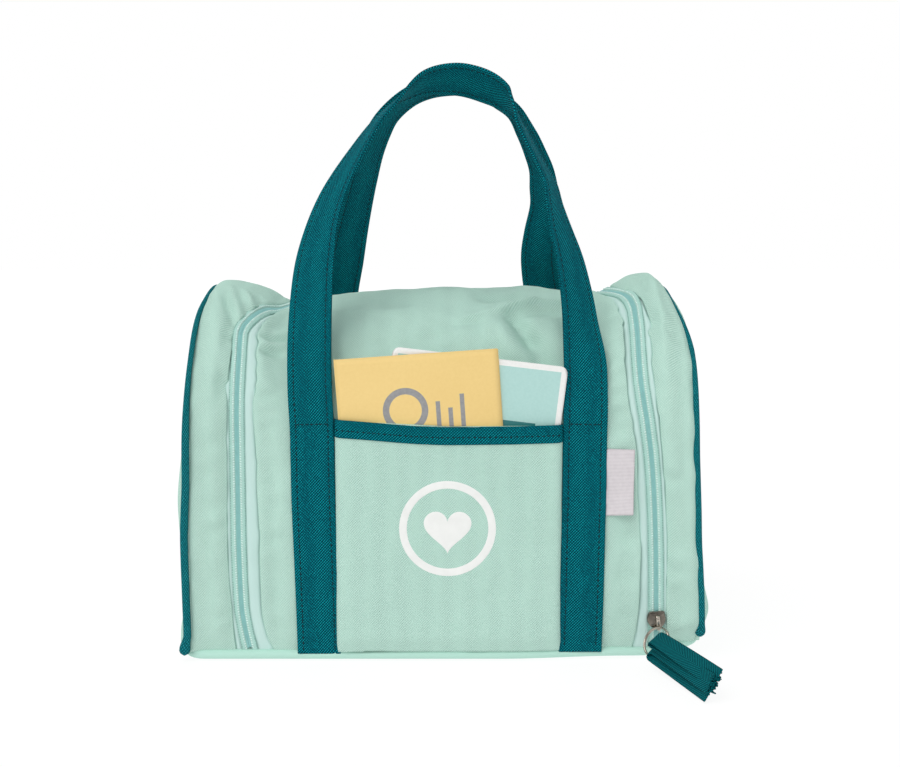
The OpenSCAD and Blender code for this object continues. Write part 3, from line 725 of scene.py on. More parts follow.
def shell_loops(xa, xb, s, depth, relief, n_out, n_in, edge_r, edge_drop=0.0):
    """Closed loops across a padded sheet for one value of s per row: outside, round edge, inside, round edge."""
    rows_x, rows_n = [], []
    arc = np.linspace(math.pi / 2, -math.pi / 2, 9)
    for a, b, si in zip(xa, xb, s):
        if a > b:
            a, b = b, a
        r = edge_r
        # columns are closer together near both edges
        t = np.linspace(0, 1, n_out)
        t = t - 0.10 * np.sin(2 * math.pi * t)
        xo = a + r + (b - a - 2 * r) * t
        do = relief(xo, si)
        xr = b - r + r * np.cos(arc[1:-1])
        nr = do[-1] - r + r * np.sin(arc[1:-1])
        xi = np.linspace(b - r, a + r, n_in)
        di = relief(xi, si) - depth
        # the inner face meets the round edges
        blend = np.minimum(1, np.minimum(xi - a - r, b - r - xi) / 6.0)
        di = di * blend + (1 - blend) * np.interp(xi, [a + r, b - r], [do[0] - 2 * r, do[-1] - 2 * r])
        xl = a + r - r * np.cos(arc[1:-1])
        nl = do[0] - r - r * np.sin(arc[1:-1])
        rows_x.append(np.concatenate([xo, xr, xi, xl]))
        rows_n.append(np.concatenate([do, nr, di, nl]))
    return np.array(rows_x), np.array(rows_n)


def wrap_sheet(name, fa, fb, relief, depth, n_out, n_in, edge_r, s_rows, jag=0.0, seed=1):
    g = waves(seed, 14, 9, 34)
    ja, jb = jag * g(np.zeros_like(s_rows), s_rows), jag * g(np.full_like(s_rows, 77.0), s_rows)
    X, Nn = shell_loops(fa(s_rows) + ja, fb(s_rows) + jb, s_rows, depth, relief, n_out, n_in, edge_r)
    S = np.broadcast_to(s_rows[:, None], X.shape)
    P = surf(X, S, Nn)
    uv = np.stack([X, S + 0 * X], -1)
    b = Build()
    b.loft(P, uv)
    return b.make(name)


def rows(step, a=0.0, b=LT):
    return np.linspace(a, b, int(round((b - a) / step)) + 1)


body = wrap_sheet("canvas_body", fold_left_body, fold_right_body, relief_body, 2.4, 150, 24, 0.85, rows(1.3, -1.5, LT + 1.5), jag=0.10, seed=41)
add_piece(body, canvas, "bag", "canvas", ["body_wrap"])

for side, nm, fold in ((1, "right", fold_right_end), (-1, "left", fold_left_end)):
    rel = relief_end(side)
    sr = rows(1.3, -1.3, LT + 1.3)
    far = (lambda s, side=side: side * (seam_x(side, s) + 0.3))
    g = wrap_sheet(f"{nm}_gusset_canvas", fold, far, rel, 2.3, 42, 12, 0.85, sr, jag=0.08, seed=50 + side)
    add_piece(g, canvas, f"{nm}_flap", "canvas", [f"{nm}_gusset"])

# lining: a thin sheet just inside the canvas, with the floor of the bag
for nm in ("bag",):
    b = Build()
    sr = rows(4.0, 3.0, LT - 3.0)
    xs = np.linspace(0, 1, 40)
    XA, XB = fold_left_body(sr) + 1.5, fold_right_body(sr) - 1.5
    X = XA[:, None] + (XB - XA)[:, None] * xs[None]
    S = np.broadcast_to(sr[:, None], X.shape)
    D = relief_body(X, S)
    outer, inner = surf(X, S, D - 2.55), surf(X, S, D - 3.2)
    UV = np.stack([X, S], -1)
    b.loft(np.concatenate([outer, inner[:, ::-1]], 1), np.concatenate([UV, UV[:, ::-1]], 1))
    fx = np.linspace(-1, 1, 40)
    fy = np.linspace(-71.6, 71.6, 24)
    FX, FY = np.meshgrid(fx * 119, fy, indexing="ij")
    FZ = 8.2 + 0.35 * n_mid(FX, FY)
    top = np.stack([FX, FY, FZ], -1)
    bot = np.stack([FX, FY, FZ - 0.7], -1)
    b.loft(np.concatenate([top, bot[:, ::-1]], 1), np.concatenate([np.stack([FX, FY], -1)] * 2, 1), flip=True)
    add_piece(b.make("lining_cloth"), lining_mat, "bag", "lining", ["body_lining"])

# ---------------------------------------------------------------- base with its rolled rim


def base_outline(n_side=120, n_corner=16):
    pts = []
    lx, ly, rad = 130.0, 75.6, 10.0
    corners = [(lx - rad, -ly + rad, -90), (lx - rad, ly - rad, 0), (-lx + rad, ly - rad, 90), (-lx + rad, -ly + rad, 180)]
    for cx, cy, a0 in corners:
        for k in range(n_corner + 1):
            a = math.radians(a0 + 90 * k / n_corner)
            pts.append((cx + rad * math.cos(a), cy + rad * math.sin(a)))
    pts = np.array(pts + [pts[0]])
    d = np.r_[0, np.cumsum(np.linalg.norm(np.diff(pts, axis=0), axis=1))]
    t = np.arange(0, d[-1], 1.6)
    return np.stack([np.interp(t, d, pts[:, 0]), np.interp(t, d, pts[:, 1])], 1), t


def foot_shift(x, y):
    """The same drawing back and lift as the wall's foot has."""
    f = smoothstep(20, -60, y)
    back = (2.5 * smoothstep(30, 90, x) + 5.0 * smoothstep(96, 130, x)) * f
    up = (0.9 * smoothstep(30, 95, x) + 3.4 * smoothstep(104, 130, x)) * f
    return back, up


out, tt = base_outline()
tan = unit(np.roll(out, -1, 0) - np.roll(out, 1, 0))
nor = np.stack([tan[:, 1], -tan[:, 0]], 1)
roll_a = np.linspace(math.radians(118), math.radians(-118), 15)
roll_r = 2.45
wav = 0.14 * waves(61, 12, 12, 40)(tt, 0 * tt)
prof = [(-16.0, 3.9), (-8.0, 4.2), (-3.4, 4.4)]
prof += [(-1.9 + roll_r * 1.15 * math.cos(a), 2.62 + roll_r * math.sin(a)) for a in roll_a]
prof += [(-3.6, 0.9), (-8.0, 0.75), (-16.0, 0.7)]
P = []
for k, (o, z) in enumerate(prof):
    w = wav if 3 <= k < 3 + len(roll_a) else 0 * wav
    xy = out + nor * (o + w)[:, None] + nor * 0.0
    back, up = foot_shift(xy[:, 0], xy[:, 1])
    zz = z + up + 0.25 * w
    P.append(np.stack([xy[:, 0], xy[:, 1] + back, zz], 1))
P = np.array(P).transpose(1, 0, 2)          # along, profile
L = tt[:, None] + 0 * P[..., 0]
pd = np.r_[0, np.cumsum(np.linalg.norm(np.diff(np.array(prof), axis=0), axis=1))]
b = Build()
b.grid(P, np.stack([np.broadcast_to(pd[None], L.shape), L], -1), wrap_i=True)
# top and bottom sheets close the base
for row, flip in ((0, False), (-1, True)):
    ring = P[:, row]
    c = ring.mean(0)
    steps = np.linspace(1, 0.02, 12)
    G = c[None, None] + (ring[None] - c) * steps[:, None, None]
    b.grid(G, G[..., :2].copy(), wrap_j=True, flip=flip)
base = b.make("base_cloth_and_rim")
add_piece(base, base_cloth, "bag", "canvas", ["base_panel"])
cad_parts["base_board"].data.materials.clear()
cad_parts["base_board"].data.materials.append(board_mat)

# ---------------------------------------------------------------- zips
line_of = {1: zip_right, -1: zip_left}


def strip_xy(side, s, off):
    """Point at a distance off from the zip's middle, outwards, in the (x, s) plane."""
    f = line_of[side]
    h = 0.5
    g = (f(s + h) - f(s - h)) / (2 * h) * side
    l = np.sqrt(1 + g * g)
    return f(s) + side * off / l, s - off * g / l


def zip_surface(side, s, off, n):
    x, ss = strip_xy(side, s, off)
    return surf(x, ss, n)


zs = rows(0.6, -1.2, LT + 1.2)
PITCH = 1.25
for side, nm in ((1, "right"), (-1, "left")):
    fb = fold_right_body if side > 0 else fold_left_body
    fe = fold_right_end if side > 0 else fold_left_end
    # how far each fold lies from the middle of the coil, square to the zip
    f = line_of[side]
    g = (f(zs + 0.5) - f(zs - 0.5)) * side
    cosl = 1 / np.sqrt(1 + g * g)
    ob = side * (fb(zs) - f(zs)) * cosl
    oe = side * (fe(zs) - f(zs)) * cosl
    for half, name, owner in ((-1, f"{nm}_zip_body_tape", "bag"), (1, f"{nm}_zip_door_tape", f"{nm}_flap")):
        far = (np.minimum(ob, -4.6) - 2.4) if half < 0 else (np.maximum(oe, 4.4) + 2.2)
        t = np.linspace(0, 1, 20)
        O = half * 0.12 + (far - half * 0.12)[:, None] * (0.55 * t + 0.45 * t**2)[None]
        S = np.broadcast_to(zs[:, None], O.shape)
        d = np.abs(O)
        # a floor under the coil, a narrow channel, then the wide soft hem
        edge_d = np.abs(ob if half < 0 else oe)[:, None]
        prof_n = -1.45 + 0.72 * smoothstep(4.0, 4.9, d) + 0.18 * np.exp(-((d - 6.4) / 1.5) ** 2)
        prof_n = prof_n - 1.25 * smoothstep(-1.2, 1.0, d - edge_d)
        if half > 0:
            for sc_, wd_, dp_ in SLITS[side]:
                prof_n = prof_n - dp_ * np.exp(-((S - sc_) / wd_) ** 2) * smoothstep(-2.2, 0.3, d - edge_d)
        prof_n = prof_n + 0.10 * waves(70 + side, 10, 10, 30)(O * 0.4, S)
        foot = np.where(S < TOP, S, LT - S)
        prof_n = prof_n - 0.4 * (1 - smoothstep(0, 8, foot))
        up = zip_surface(side, S, O, prof_n)
        dn = zip_surface(side, S, O, prof_n - 0.55)
        UV = np.stack([O, S], -1)
        b = Build()
        loop = np.concatenate([up, dn[:, ::-1]], 1)
        uvl = np.concatenate([UV, UV[:, ::-1]], 1)
        b.loft(loop, uvl, flip=(half * side < 0) ^ (side < 0) ^ (half < 0))
        add_piece(b.make(name + "_cloth"), tape_mat, owner, "zip_tape", [name])
    for half, name, owner in ((-1, f"{nm}_zip_body_coil", "bag"), (1, f"{nm}_zip_door_coil", f"{nm}_flap")):
        # the coil under its woven cover, with a low wave at each turn
        sc = rows(0.3125, -0.8, LT + 0.8)
        a = np.linspace(0, 2 * math.pi, 15)[:-1]
        c, w = 2.38, 1.42
        O = half * (c + w * np.cos(a))[None] + 0 * sc[:, None]
        ripple = 0.09 * np.cos(2 * math.pi * sc / PITCH)[:, None]
        Nn = -1.25 + (0.72 + ripple) * np.sin(a)[None]
        S = np.broadcast_to(sc[:, None], O.shape)
        P = zip_surface(side, S, O, Nn)
        b = Build()
        b.loft(P, np.stack([O, S], -1), flip=(half * side > 0))
        coil = b.make(name + "_cover")
        add_piece(coil, coil_mat, owner, "zip_coil", [name])
        # stitches that hold the coil, one slanted dash at each turn: a white inner row, and an outer row in a dark mint
        # thread whose colour is painted shade of the channel beside the coil
        st = np.arange(1.0, LT - 1.0, PITCH)
        db, de = Build(), Build()
        for k, (oc, slant, nn_, ln) in enumerate(((1.78, 0.45, -0.70, 0.80), (3.55, -0.5, -0.82, 0.80))):
            at = zip_surface(side, st, np.full_like(st, half * oc), np.full_like(st, nn_))
            ahead = zip_surface(side, st + 0.5, np.full_like(st, half * (oc + slant * 0.5)), np.full_like(st, nn_))
            up = surf_up(*strip_xy(side, st, np.full_like(st, half * oc)))
            dashes((db, de)[k], at, ahead - at, up, ln, 1.1 if k == 0 else 0.6, 0.6 if k == 0 else 0.5)
        add_piece(db.make(f"{name}_stitches"), pale_thread, owner, "zip_coil")
        add_piece(de.make(f"{name}_edge_stitches"), painted_shade_thread, owner, "zip_coil")
        # the loops' heads meet in the middle of the zip
        db = Build()
        sg = rows(0.6, 1.0, LT - 1.0)
        og = np.array([0.05, 0.45, 0.85, 1.2])
        O = half * og[None] + 0 * sg[:, None]
        S = np.broadcast_to(sg[:, None], O.shape)
        hi, lo = zip_surface(side, S, O, -1.12 + 0 * O), zip_surface(side, S, O, -1.5 + 0 * O)
        db.loft(np.concatenate([hi, lo[:, ::-1]], 1))
        tt2 = np.arange(6.0 + (0.25 * PITCH if half > 0 else 0.75 * PITCH), LT - 6.0, PITCH)
        at = zip_surface(side, tt2, np.full_like(tt2, half * 0.30), np.full_like(tt2, -1.16))
        ax = zip_surface(side, tt2, np.full_like(tt2, half * 1.3), np.full_like(tt2, -1.16)) - at
        up = surf_up(*strip_xy(side, tt2, np.full_like(tt2, half * 0.3)))
        dashes(db, at, ax, up, 1.9, 0.62, 0.45)
        add_piece(fix_out(db.make(f"{name}_teeth")), teeth_mat, owner, "zip_coil")

# metal stops at the feet of the coils
b = Build()
for side in (1, -1):
    for s0 in (4.0, LT - 4.0):
        at = zip_surface(side, np.array([s0 - 1.6, s0 - 0.5, s0 + 0.5, s0 + 1.6]), np.full(4, -0.9), np.full(4, -1.78))
        tube_path(b, at, np.array([0.3, 0.45, 0.45, 0.3]), 10)
add_piece(b.make("zip_stop_clips"), nickel, "bag", "nickel", ["zip_stops"])

# ---------------------------------------------------------------- piping and end panels
for side, nm in ((1, "right"), (-1, "left")):
    front_foot = 2.0 if side > 0 else -2.6
    sp = rows(1.2, front_foot, LT - 3.2)
    far_top = np.exp(-((sp - TOP) / 46) ** 4)
    slim = smoothstep(105, 150, sec_z(sp))
    hide = (-0.55 + 0.75 * slim if side > 0 else 0.9) * (1 - far_top) - 1.5 * far_top
    path = surf(side * pipe_x(side, sp), sp, hide)
    foot = np.minimum(sp - sp[0], sp[-1] - sp)
    rad = (1.85 if side > 0 else 2.0) - (0.45 if side > 0 else 0.65) * slim + 0.85 * np.exp(-((foot - 3.0) / 3.6) ** 2)
    rad = rad * np.sqrt(np.clip(1 - (np.clip(2.8 - foot, 0, 2.8) / 2.8) ** 2, 0.02, 1))
    b = Build()
    tube_path(b, path, rad, 20)
    add_piece(b.make(f"{nm}_piping_cord"), piping_mat, f"{nm}_flap", "piping", [f"{nm}_piping"])

    # end panel: a padded sheet inside the seam
    sr = rows(2.4, -1.2, LT + 1.2)
    ex = pipe_x(side, sr)
    high = smoothstep(100, 150, sec_z(sr))
    ring = surf(side * (ex + 0.3 - 0.8 * high), sr, -0.2 - 1.6 * high)
    foot_pts = np.linspace(ring[-1], ring[0], 42)[1:-1]
    ring = np.concatenate([ring, foot_pts])
    c = np.array([ring[:, 0].mean() - side * 0.0, 0.0, 92.0])
    steps = np.r_[1.0, 0.992, 0.98, 0.962, 0.94, np.linspace(0.90, 0.04, 22)]
    g_end = waves(90 + side, 22, 30, 90)
    layers = []
    for k, r in enumerate(steps):
        q = c + (ring - c) * r
        z = q[:, 2]
        plane = PIPE[side](np.clip(z, 0, 190))
        puff = (3.2 * (1 - r**8) + 0.9 * g_end(q[:, 1], q[:, 2]) * (1 - r**4)) * (1 - 0.8 * smoothstep(125, 172, z))
        # the panel bellies out past the piping near the front corner
        belly = 5.6 * np.exp(-((z - 82) / 26) ** 2) + 4.4 * np.exp(-((z - 13) / 9) ** 2) if side < 0 else 5.4 * np.exp(-((z - 26) / 10) ** 2)
        puff = puff + belly * (1 - r**26) * np.clip(r, 0, 1) ** 6 * smoothstep(10, -40, q[:, 1])
        q[:, 0] = side * (plane + 0.2 + puff)
        layers.append(q)
    G = np.array(layers)
    tip = G[-1].mean(0)
    b = Build()
    UVg = np.stack([G[..., 1], G[..., 2]], -1)
    nj = G.shape[1]
    inner = G.copy()
    inner[..., 0] -= side * 2.4
    both = np.concatenate([inner[::-1], G], 0)
    uvb = np.concatenate([UVg[::-1], UVg], 0)
    b.loft(both, uvb, flip=side > 0)
    add_piece(b.make(f"{nm}_end_canvas"), canvas, None, "canvas", [f"{nm}_end_panel"])
    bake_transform(bpy.data.objects[f"{nm}_end_canvas"])

    b = Build()
    lin = G[3:].copy()
    lin[..., 0] -= side * 2.7
    lin2 = lin.copy()
    lin2[..., 0] -= side * 0.6
    lu = np.stack([lin[..., 1], lin[..., 2]], -1)
    b.loft(np.concatenate([lin2[::-1], lin], 0), np.concatenate([lu[::-1], lu], 0), flip=side > 0)
    add_piece(b.make(f"{nm}_end_lining_cloth"), lining_mat, None, "lining", [f"{nm}_end_lining"])
    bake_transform(bpy.data.objects[f"{nm}_end_lining_cloth"])

# ---------------------------------------------------------------- webbing


def web_section(half_w=11.0, t=1.6):
    """A folded and double stitched band: (w, top, bottom) heights of its two faces."""
    w = np.array([-1, -0.985, -0.94, -0.88, -0.80, -0.745, -0.72, -0.695, -0.60, -0.4, -0.2, 0, 0.2, 0.4, 0.60, 0.695, 0.72, 0.745, 0.80, 0.88, 0.94, 0.985, 1]) * half_w
    a = np.abs(w) / half_w
    h = t / 2 * np.ones_like(w)
    h = h - 0.26 * np.exp(-((a - 0.72) / 0.035) ** 2) + 0.06 * np.exp(-((a - 0.86) / 0.08) ** 2)
    h = h * np.sqrt(np.clip(1 - np.clip((a - 0.93) / 0.07, 0, 1) ** 2, 0, 1)) + 1e-3
    return w, h


def webbing_mesh(name, mids, wdir, ndir, half, length, base=None):
    """mids, wdir, ndir per row; half is the half width per row."""
    w, h = web_section()
    W = w[None] * (half / 11.0)[:, None]
    top = mids[:, None] + wdir[:, None] * W[..., None] + ndir[:, None] * h[None, :, None]
    bot = mids[:, None] + wdir[:, None] * W[..., None] - ndir[:, None] * h[None, :, None]
    loop = np.concatenate([top[:, :-1], bot[:, ::-1][:, :-1]], 1)
    U = np.concatenate([W[:, :-1], 40 + W[:, ::-1][:, :-1]], 1)
    UV = np.stack([U, np.broadcast_to(length[:, None], U.shape)], -1)
    b = Build()
    b.loft(loop, UV)
    return b.make(name)


FL, FR = 3 - 67.5, 3 + 67.5
STRAP_TOP_S = 120.5 - RIM
thread_rows = {}


def strap_frames(x0, front, lean):
    """Rows of a sewn strap from its foot up: middle, width direction (towards +x), outward direction."""
    s = rows(1.5, -1.5, STRAP_TOP_S - 3)
    mids, nd = [], []
    for si in s:
        sc = si if front else LT - si
        xc = x0 + (lean(si) if front else 0)
        xs = xc + np.linspace(-10.5, 10.5, 5)
        d = relief_body(xs, sc)
        lift = (d.max() * 0.6 + d.mean() * 0.4) * smoothstep(-1, 10, si) + 0.80
        mids.append((surf(xc - 11, sc, lift) + surf(xc + 11, sc, lift)) / 2)
        nd.append(surf_up(np.array([xc]), np.array([sc]))[0])
    mids, nd = np.array(mids), np.array(nd)
    wd = np.tile([1.0, 0, 0], (len(s), 1))
    return mids, unit(wd), nd


FOOT_L = pchip([0, 40, 80, 116], [2.6, 1.6, 0.4, 0.0])
FOOT_R = pchip([0, 40, 80, 116], [-1.4, -0.8, -0.2, 0.0])
front_rows = [
    [[-75.5, -76.9, 121], [-53.5, -76.9, 121]],
    [[-76.5, -75.5, 136], [-54.2, -76, 136]],
    [[-77, -69.5, 158], [-54.8, -71, 158]],
    [[-76.6, -58, 180], [-55, -63, 180]],
    [[-74.7, -48, 199], [-54.5, -57, 199]],
    [[-70, -38, 217], [-53, -51.5, 217]],
    [[-64.5, -30.5, 231], [-49, -46, 233]],
    [[-57.5, -25, 243], [-43.5, -41, 247]],
    [[-47.5, -18, 258], [-37.5, -37, 259.5]],
    [[-38.5, -12, 270], [-31.5, -33, 270.5]],
    [[-28.5, -6.5, 280], [-24.5, -28, 280]],
    [[-17, -3, 285], [-17.5, -23.5, 290]],
    [[-8, -1.8, 287], [-10, -20, 297]],
    [[2, -1.6, 287], [0, -17.5, 300.5]],
    [[12, -1.6, 285.5], [11.5, -16.5, 301]],
    [[22, -1.8, 282], [25, -17.5, 297]],
    [[31, -3, 279], [35, -21, 288.5]],
    [[37, -7, 277], [37.5, -27.5, 279]],
    [[42.5, -10, 270], [39, -31, 269.5]],
    [[47.5, -13.5, 260], [43.5, -35, 259]],
    [[53, -17.5, 250], [48.5, -39, 249]],
    [[58.5, -22.5, 240], [52, -43.5, 239.5]],
    [[62, -28.5, 228], [53.5, -48.5, 227.5]],
    [[66.5, -35.5, 215], [55, -53.5, 214]],
    [[71.5, -42.5, 201], [57, -59, 201]],
    [[75.3, -50, 185], [58.8, -64.5, 185]],
    [[78, -58, 169], [59.7, -70, 169]],
    [[81, -70.4, 150], [60, -73.4, 150]],
    [[81.5, -75, 133], [60, -74.7, 133]],
    [[81.5, -76.2, 127], [59.8, -75.8, 127]],
    [[81.5, -76.9, 121], [59.7, -76.9, 121]]]

rear_rows = [
    [[-75.5, 76.9, 121], [-53.5, 76.9, 121]],
    [[-75.5, 75.5, 136], [-53, 76, 136]],
    [[-74, 69.5, 158], [-51.5, 71.5, 158]],
    [[-71.5, 59, 178], [-50, 63.5, 178]],
    [[-67, 50, 195], [-46.8, 57.5, 195]],
    [[-62.5, 41, 212], [-44, 52, 212]],
    [[-58.4, 34, 226], [-41.0, 48, 227]],
    [[-53.6, 27, 240], [-38.0, 43, 241]],
    [[-48.8, 18, 254], [-34.6, 36, 254]],
    [[-43.4, 11, 266], [-29.8, 30, 266]],
    [[-36, 6.5, 277], [-25, 26, 275]],
    [[-25, 4.2, 287], [-16, 23, 283]],
    [[-13, 3.2, 293.5], [-7, 20.5, 287]],
    [[0, 3, 297], [2, 19.5, 288.5]],
    [[13, 3, 296.5], [12, 19.5, 288.5]],
    [[24, 3.5, 292], [22, 20.5, 286]],
    [[34, 5, 286], [30.5, 23, 281]],
    [[42, 8, 279], [38, 27.5, 275]],
    [[48.5, 12, 270.5], [43, 31, 265]],
    [[54.5, 16, 260], [47.5, 35, 254]],
    [[59.5, 20, 250], [50, 38.5, 245]],
    [[62.5, 25, 240], [50.5, 42, 235]],
    [[64, 32, 227], [50.5, 46.5, 226]],
    [[64.5, 40, 212], [47, 52, 212]],
    [[65, 47, 200], [45, 57, 200]],
    [[67, 55, 188], [45.5, 62.5, 188]],
    [[70, 62.5, 174], [48, 67, 174]],
    [[74, 70, 155], [53, 72.5, 155]],
    [[79, 75.5, 136], [57.5, 76.2, 136]],
    [[81.5, 76.9, 121], [59.7, 76.9, 121]]]


def smooth_rows(a, lo, hi, passes=12):
    a = a.copy()
    for _ in range(passes):
        a[lo:hi] = (a[lo - 1:hi - 1] + 2 * a[lo:hi] + a[lo + 1:hi + 1]) / 4
    return a


def band(name, rws, nodes, front):
    """Both sewn straps and the handle between them, which are one length of webbing."""
    p = spline(np.array(rws, float), 330)
    e0, e1 = p[:, 0], p[:, 1]
    hm = (e0 + e1) / 2
    hw = unit(e1 - e0)
    hh = np.linalg.norm(e1 - e0, axis=1) / 2 * 0.35 + 11.0 * 0.65
    keep = np.ones(len(hm), bool)
    hn = unit(np.cross(hw, unit(np.gradient(hm, axis=0))))
    out_sign = -1.0 if front else 1.0
    if hn[0, 1] * out_sign < 0:
        hn = -hn
    lm, lw, ln = strap_frames(FL, front, FOOT_L)
    rm, rw, rn = strap_frames(FR, front, FOOT_R)
    mids = np.concatenate([lm, hm[keep], rm[::-1]])
    wd = np.concatenate([lw, hw[keep], -rw[::-1]])
    nd = np.concatenate([ln, hn[keep], rn[::-1]])
    half = np.concatenate([np.full(len(lm), 11.0), hh[keep], np.full(len(rm), 11.0)])
    a, b_ = len(lm), len(lm) + keep.sum()
    for k in (a, b_):
        mids = smooth_rows(mids, k - 5, k + 6)
        wd = smooth_rows(wd, k - 5, k + 6)
        half = smooth_rows(half, k - 5, k + 6)
        nd = smooth_rows(nd, k - 5, k + 6)
    tan_ = unit(np.gradient(mids, axis=0))
    wd = unit(wd - (wd * tan_).sum(-1, keepdims=True) * tan_)
    nd = unit(np.cross(wd, tan_))
    if nd[0, 1] * out_sign < 0:
        nd = -nd
    d = np.r_[0, np.cumsum(np.linalg.norm(np.diff(mids, axis=0), axis=1))]
    ob = fix_out(webbing_mesh(name, mids, wd, nd, half, d))
    ob.data.materials.clear()
    ob.data.materials.append(webbing)
    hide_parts(*nodes)
    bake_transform(ob)

    b = Build()
    pos = np.arange(3.0, d[-1] - 3.0, 2.75)

    def along(arr, q):
        return np.stack([np.interp(q, d, arr[:, i]) for i in range(3)], 1)

    foot_l, foot_r = d[a], d[b_ - 1]
    for w in (-0.72, 0.72):
        for face in (1, -1):
            q = pos if face > 0 else pos[(pos > foot_l + 4) & (pos < foot_r - 4)]
            hwq = np.interp(q, d, half)
            dashes(b, along(mids, q) + along(wd, q) * (w * hwq)[:, None] + along(nd, q) * 0.62 * face,
                   along(tan_, q), along(nd, q) * face, 2.0, 0.55, 0.45)
    # the cross stitches where the handle leaves the bag
    for dq in (foot_l, foot_r):
        q = np.arange(-6.9, 7.0, 2.3)
        m = along(mids, np.full(1, dq)) + along(wd, np.full(1, dq)) * q[:, None] + along(nd, np.full(1, dq)) * 0.82
        dashes(b, m, np.repeat(along(wd, np.full(1, dq)), len(q), 0), np.repeat(along(nd, np.full(1, dq)), len(q), 0), 1.75, 0.55, 0.5)
    st = b.make(name + "_stitches")
    st.data.materials.append(dark_thread)
    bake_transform(st)


band("front_webbing", front_rows, ["front_left_strap", "front_right_strap", "front_handle"], True)
band("rear_webbing", rear_rows, ["rear_left_strap", "rear_right_strap", "rear_handle"], False)

# ---------------------------------------------------------------- pocket
PK_L, PK_R = FL + 11.0, FR - 11.0
pk_wav = waves(101, 18, 22, 60)
pk_fine = waves(103, 20, 9, 20)
pk_top = pchip([PK_L, -40, -10, 2.5, 30, PK_R], [122.6, 121.6, 119.3, 118.9, 119.2, 119.9])


def pocket_n(x, z):
    """Height of the pocket's front face over the wall."""
    x, z = np.broadcast_arrays(np.asarray(x, float), np.asarray(z, float))
    e = np.minimum(x - PK_L, PK_R - x)
    side = 1 - np.exp(-np.maximum(e, 0) / 1.1)
    low = smoothstep(3, 13, z)
    n = 0.3 + 3.9 * side * (0.25 + 0.75 * low) + 1.1 * side * (1 - low) * np.exp(-((x - PK_L) / 7.0) ** 2)
    n = n + (0.28 * pk_wav(x, z) + 0.05 * pk_fine(x, z)) * side * low
    for p, q, w, a in (((-30, 20), (0, 44), 9, -0.4), ((20, 100), (44, 60), 10, -0.5), ((36, 20), (52, 50), 6, 0.4), ((-46, 96), (-40, 50), 5, 0.3)):
        n = n + seg_bump(x, z, p, q, w, a) * side
    return n


xs = np.concatenate([[PK_L - 0.4, PK_L, PK_L + 0.4, PK_L + 0.9, PK_L + 1.6], np.linspace(PK_L + 2.6, PK_R - 2.6, 92), [PK_R - 1.6, PK_R - 0.9, PK_R - 0.4, PK_R, PK_R + 0.4]])
vz = np.linspace(0, 1, 90)
Zt = pk_top(xs)
Z = RIM - 0.5 + (Zt[None] - 0.8 - RIM + 0.5) * vz[:, None]
X = np.broadcast_to(xs[None], Z.shape)


def pocket_pt(x, z, n):
    x, z, n = np.broadcast_arrays(np.asarray(x, float), np.asarray(z, float), np.asarray(n, float))
    base_pt = surf(x, np.minimum(z, WH) - RIM, 0.0)
    base_pt = base_pt.copy()
    base_pt[..., 2] += np.maximum(z - WH, 0)
    base_pt[..., 1] = np.where(z > WH, -75.0, base_pt[..., 1]) - n
    return base_pt


N1 = pocket_n(X, Z)
face, back_ = pocket_pt(X, Z, N1), pocket_pt(X, Z, N1 - 0.75)
b = Build()
UV = np.stack([X, Z], -1)
b.loft(np.concatenate([face, back_[:, ::-1]], 1), np.concatenate([UV, UV[:, ::-1]], 1))
ob = fix_out(b.make("pocket_cloth"))
add_piece(ob, canvas, "bag", "canvas", ["front_pocket"])

# binding tape folded over the pocket's top edge
b = Build()
bx = np.linspace(PK_L, PK_R, 110)
zt = pk_top(bx)
prof_z = np.array([-8.8, -8.55, -8.0, -6.0, -5.35, -5.1, -4.85, -4.2, -2.4, -0.9, -0.25, 0.0, -0.25, -0.9, -3.0, -5.0, -7.0, -7.0, -5.0, -3.0, -0.95, -0.95, -3.0, -8.6])
prof_o = np.array([0.10, 0.62, 0.72, 0.72, 0.58, 0.46, 0.58, 0.72, 0.72, 0.66, 0.35, -0.30, -0.95, -1.25, -1.30, -1.30, -1.28, -0.85, -0.85, -0.85, -0.80, 0.05, 0.05, 0.03])
P, U = [], []
for xi, zi in zip(bx, zt):
    zz = zi + prof_z * 1.02
    nn = pocket_n(xi, np.minimum(zz, zi - 1)) + prof_o + 0.05
    P.append(pocket_pt(np.full_like(zz, xi), zz, nn))
    d = np.r_[0, np.cumsum(np.hypot(np.diff(prof_z), np.diff(prof_o)))]
    U.append(np.stack([d, np.full_like(d, xi)], -1))
b.loft(np.array(P), np.array(U))
ob = fix_out(b.make("pocket_binding_tape"))
add_piece(ob, webbing, "bag", "webbing", ["pocket_binding"])
b = Build()
q = np.arange(PK_L + 1.6, PK_R - 1, 2.6)
zq = pk_top(q) - 5.2
at = pocket_pt(q, zq, pocket_n(q, zq) + 0.62)
nx = pocket_pt(q + 1, pk_top(q + 1) - 5.2, pocket_n(q + 1, zq) + 0.62)
dashes(b, at, nx - at, np.tile([0, -1.0, 0], (len(q), 1)), 1.75, 0.5, 0.42)
add_piece(b.make("pocket_binding_stitches"), dark_thread, "bag")

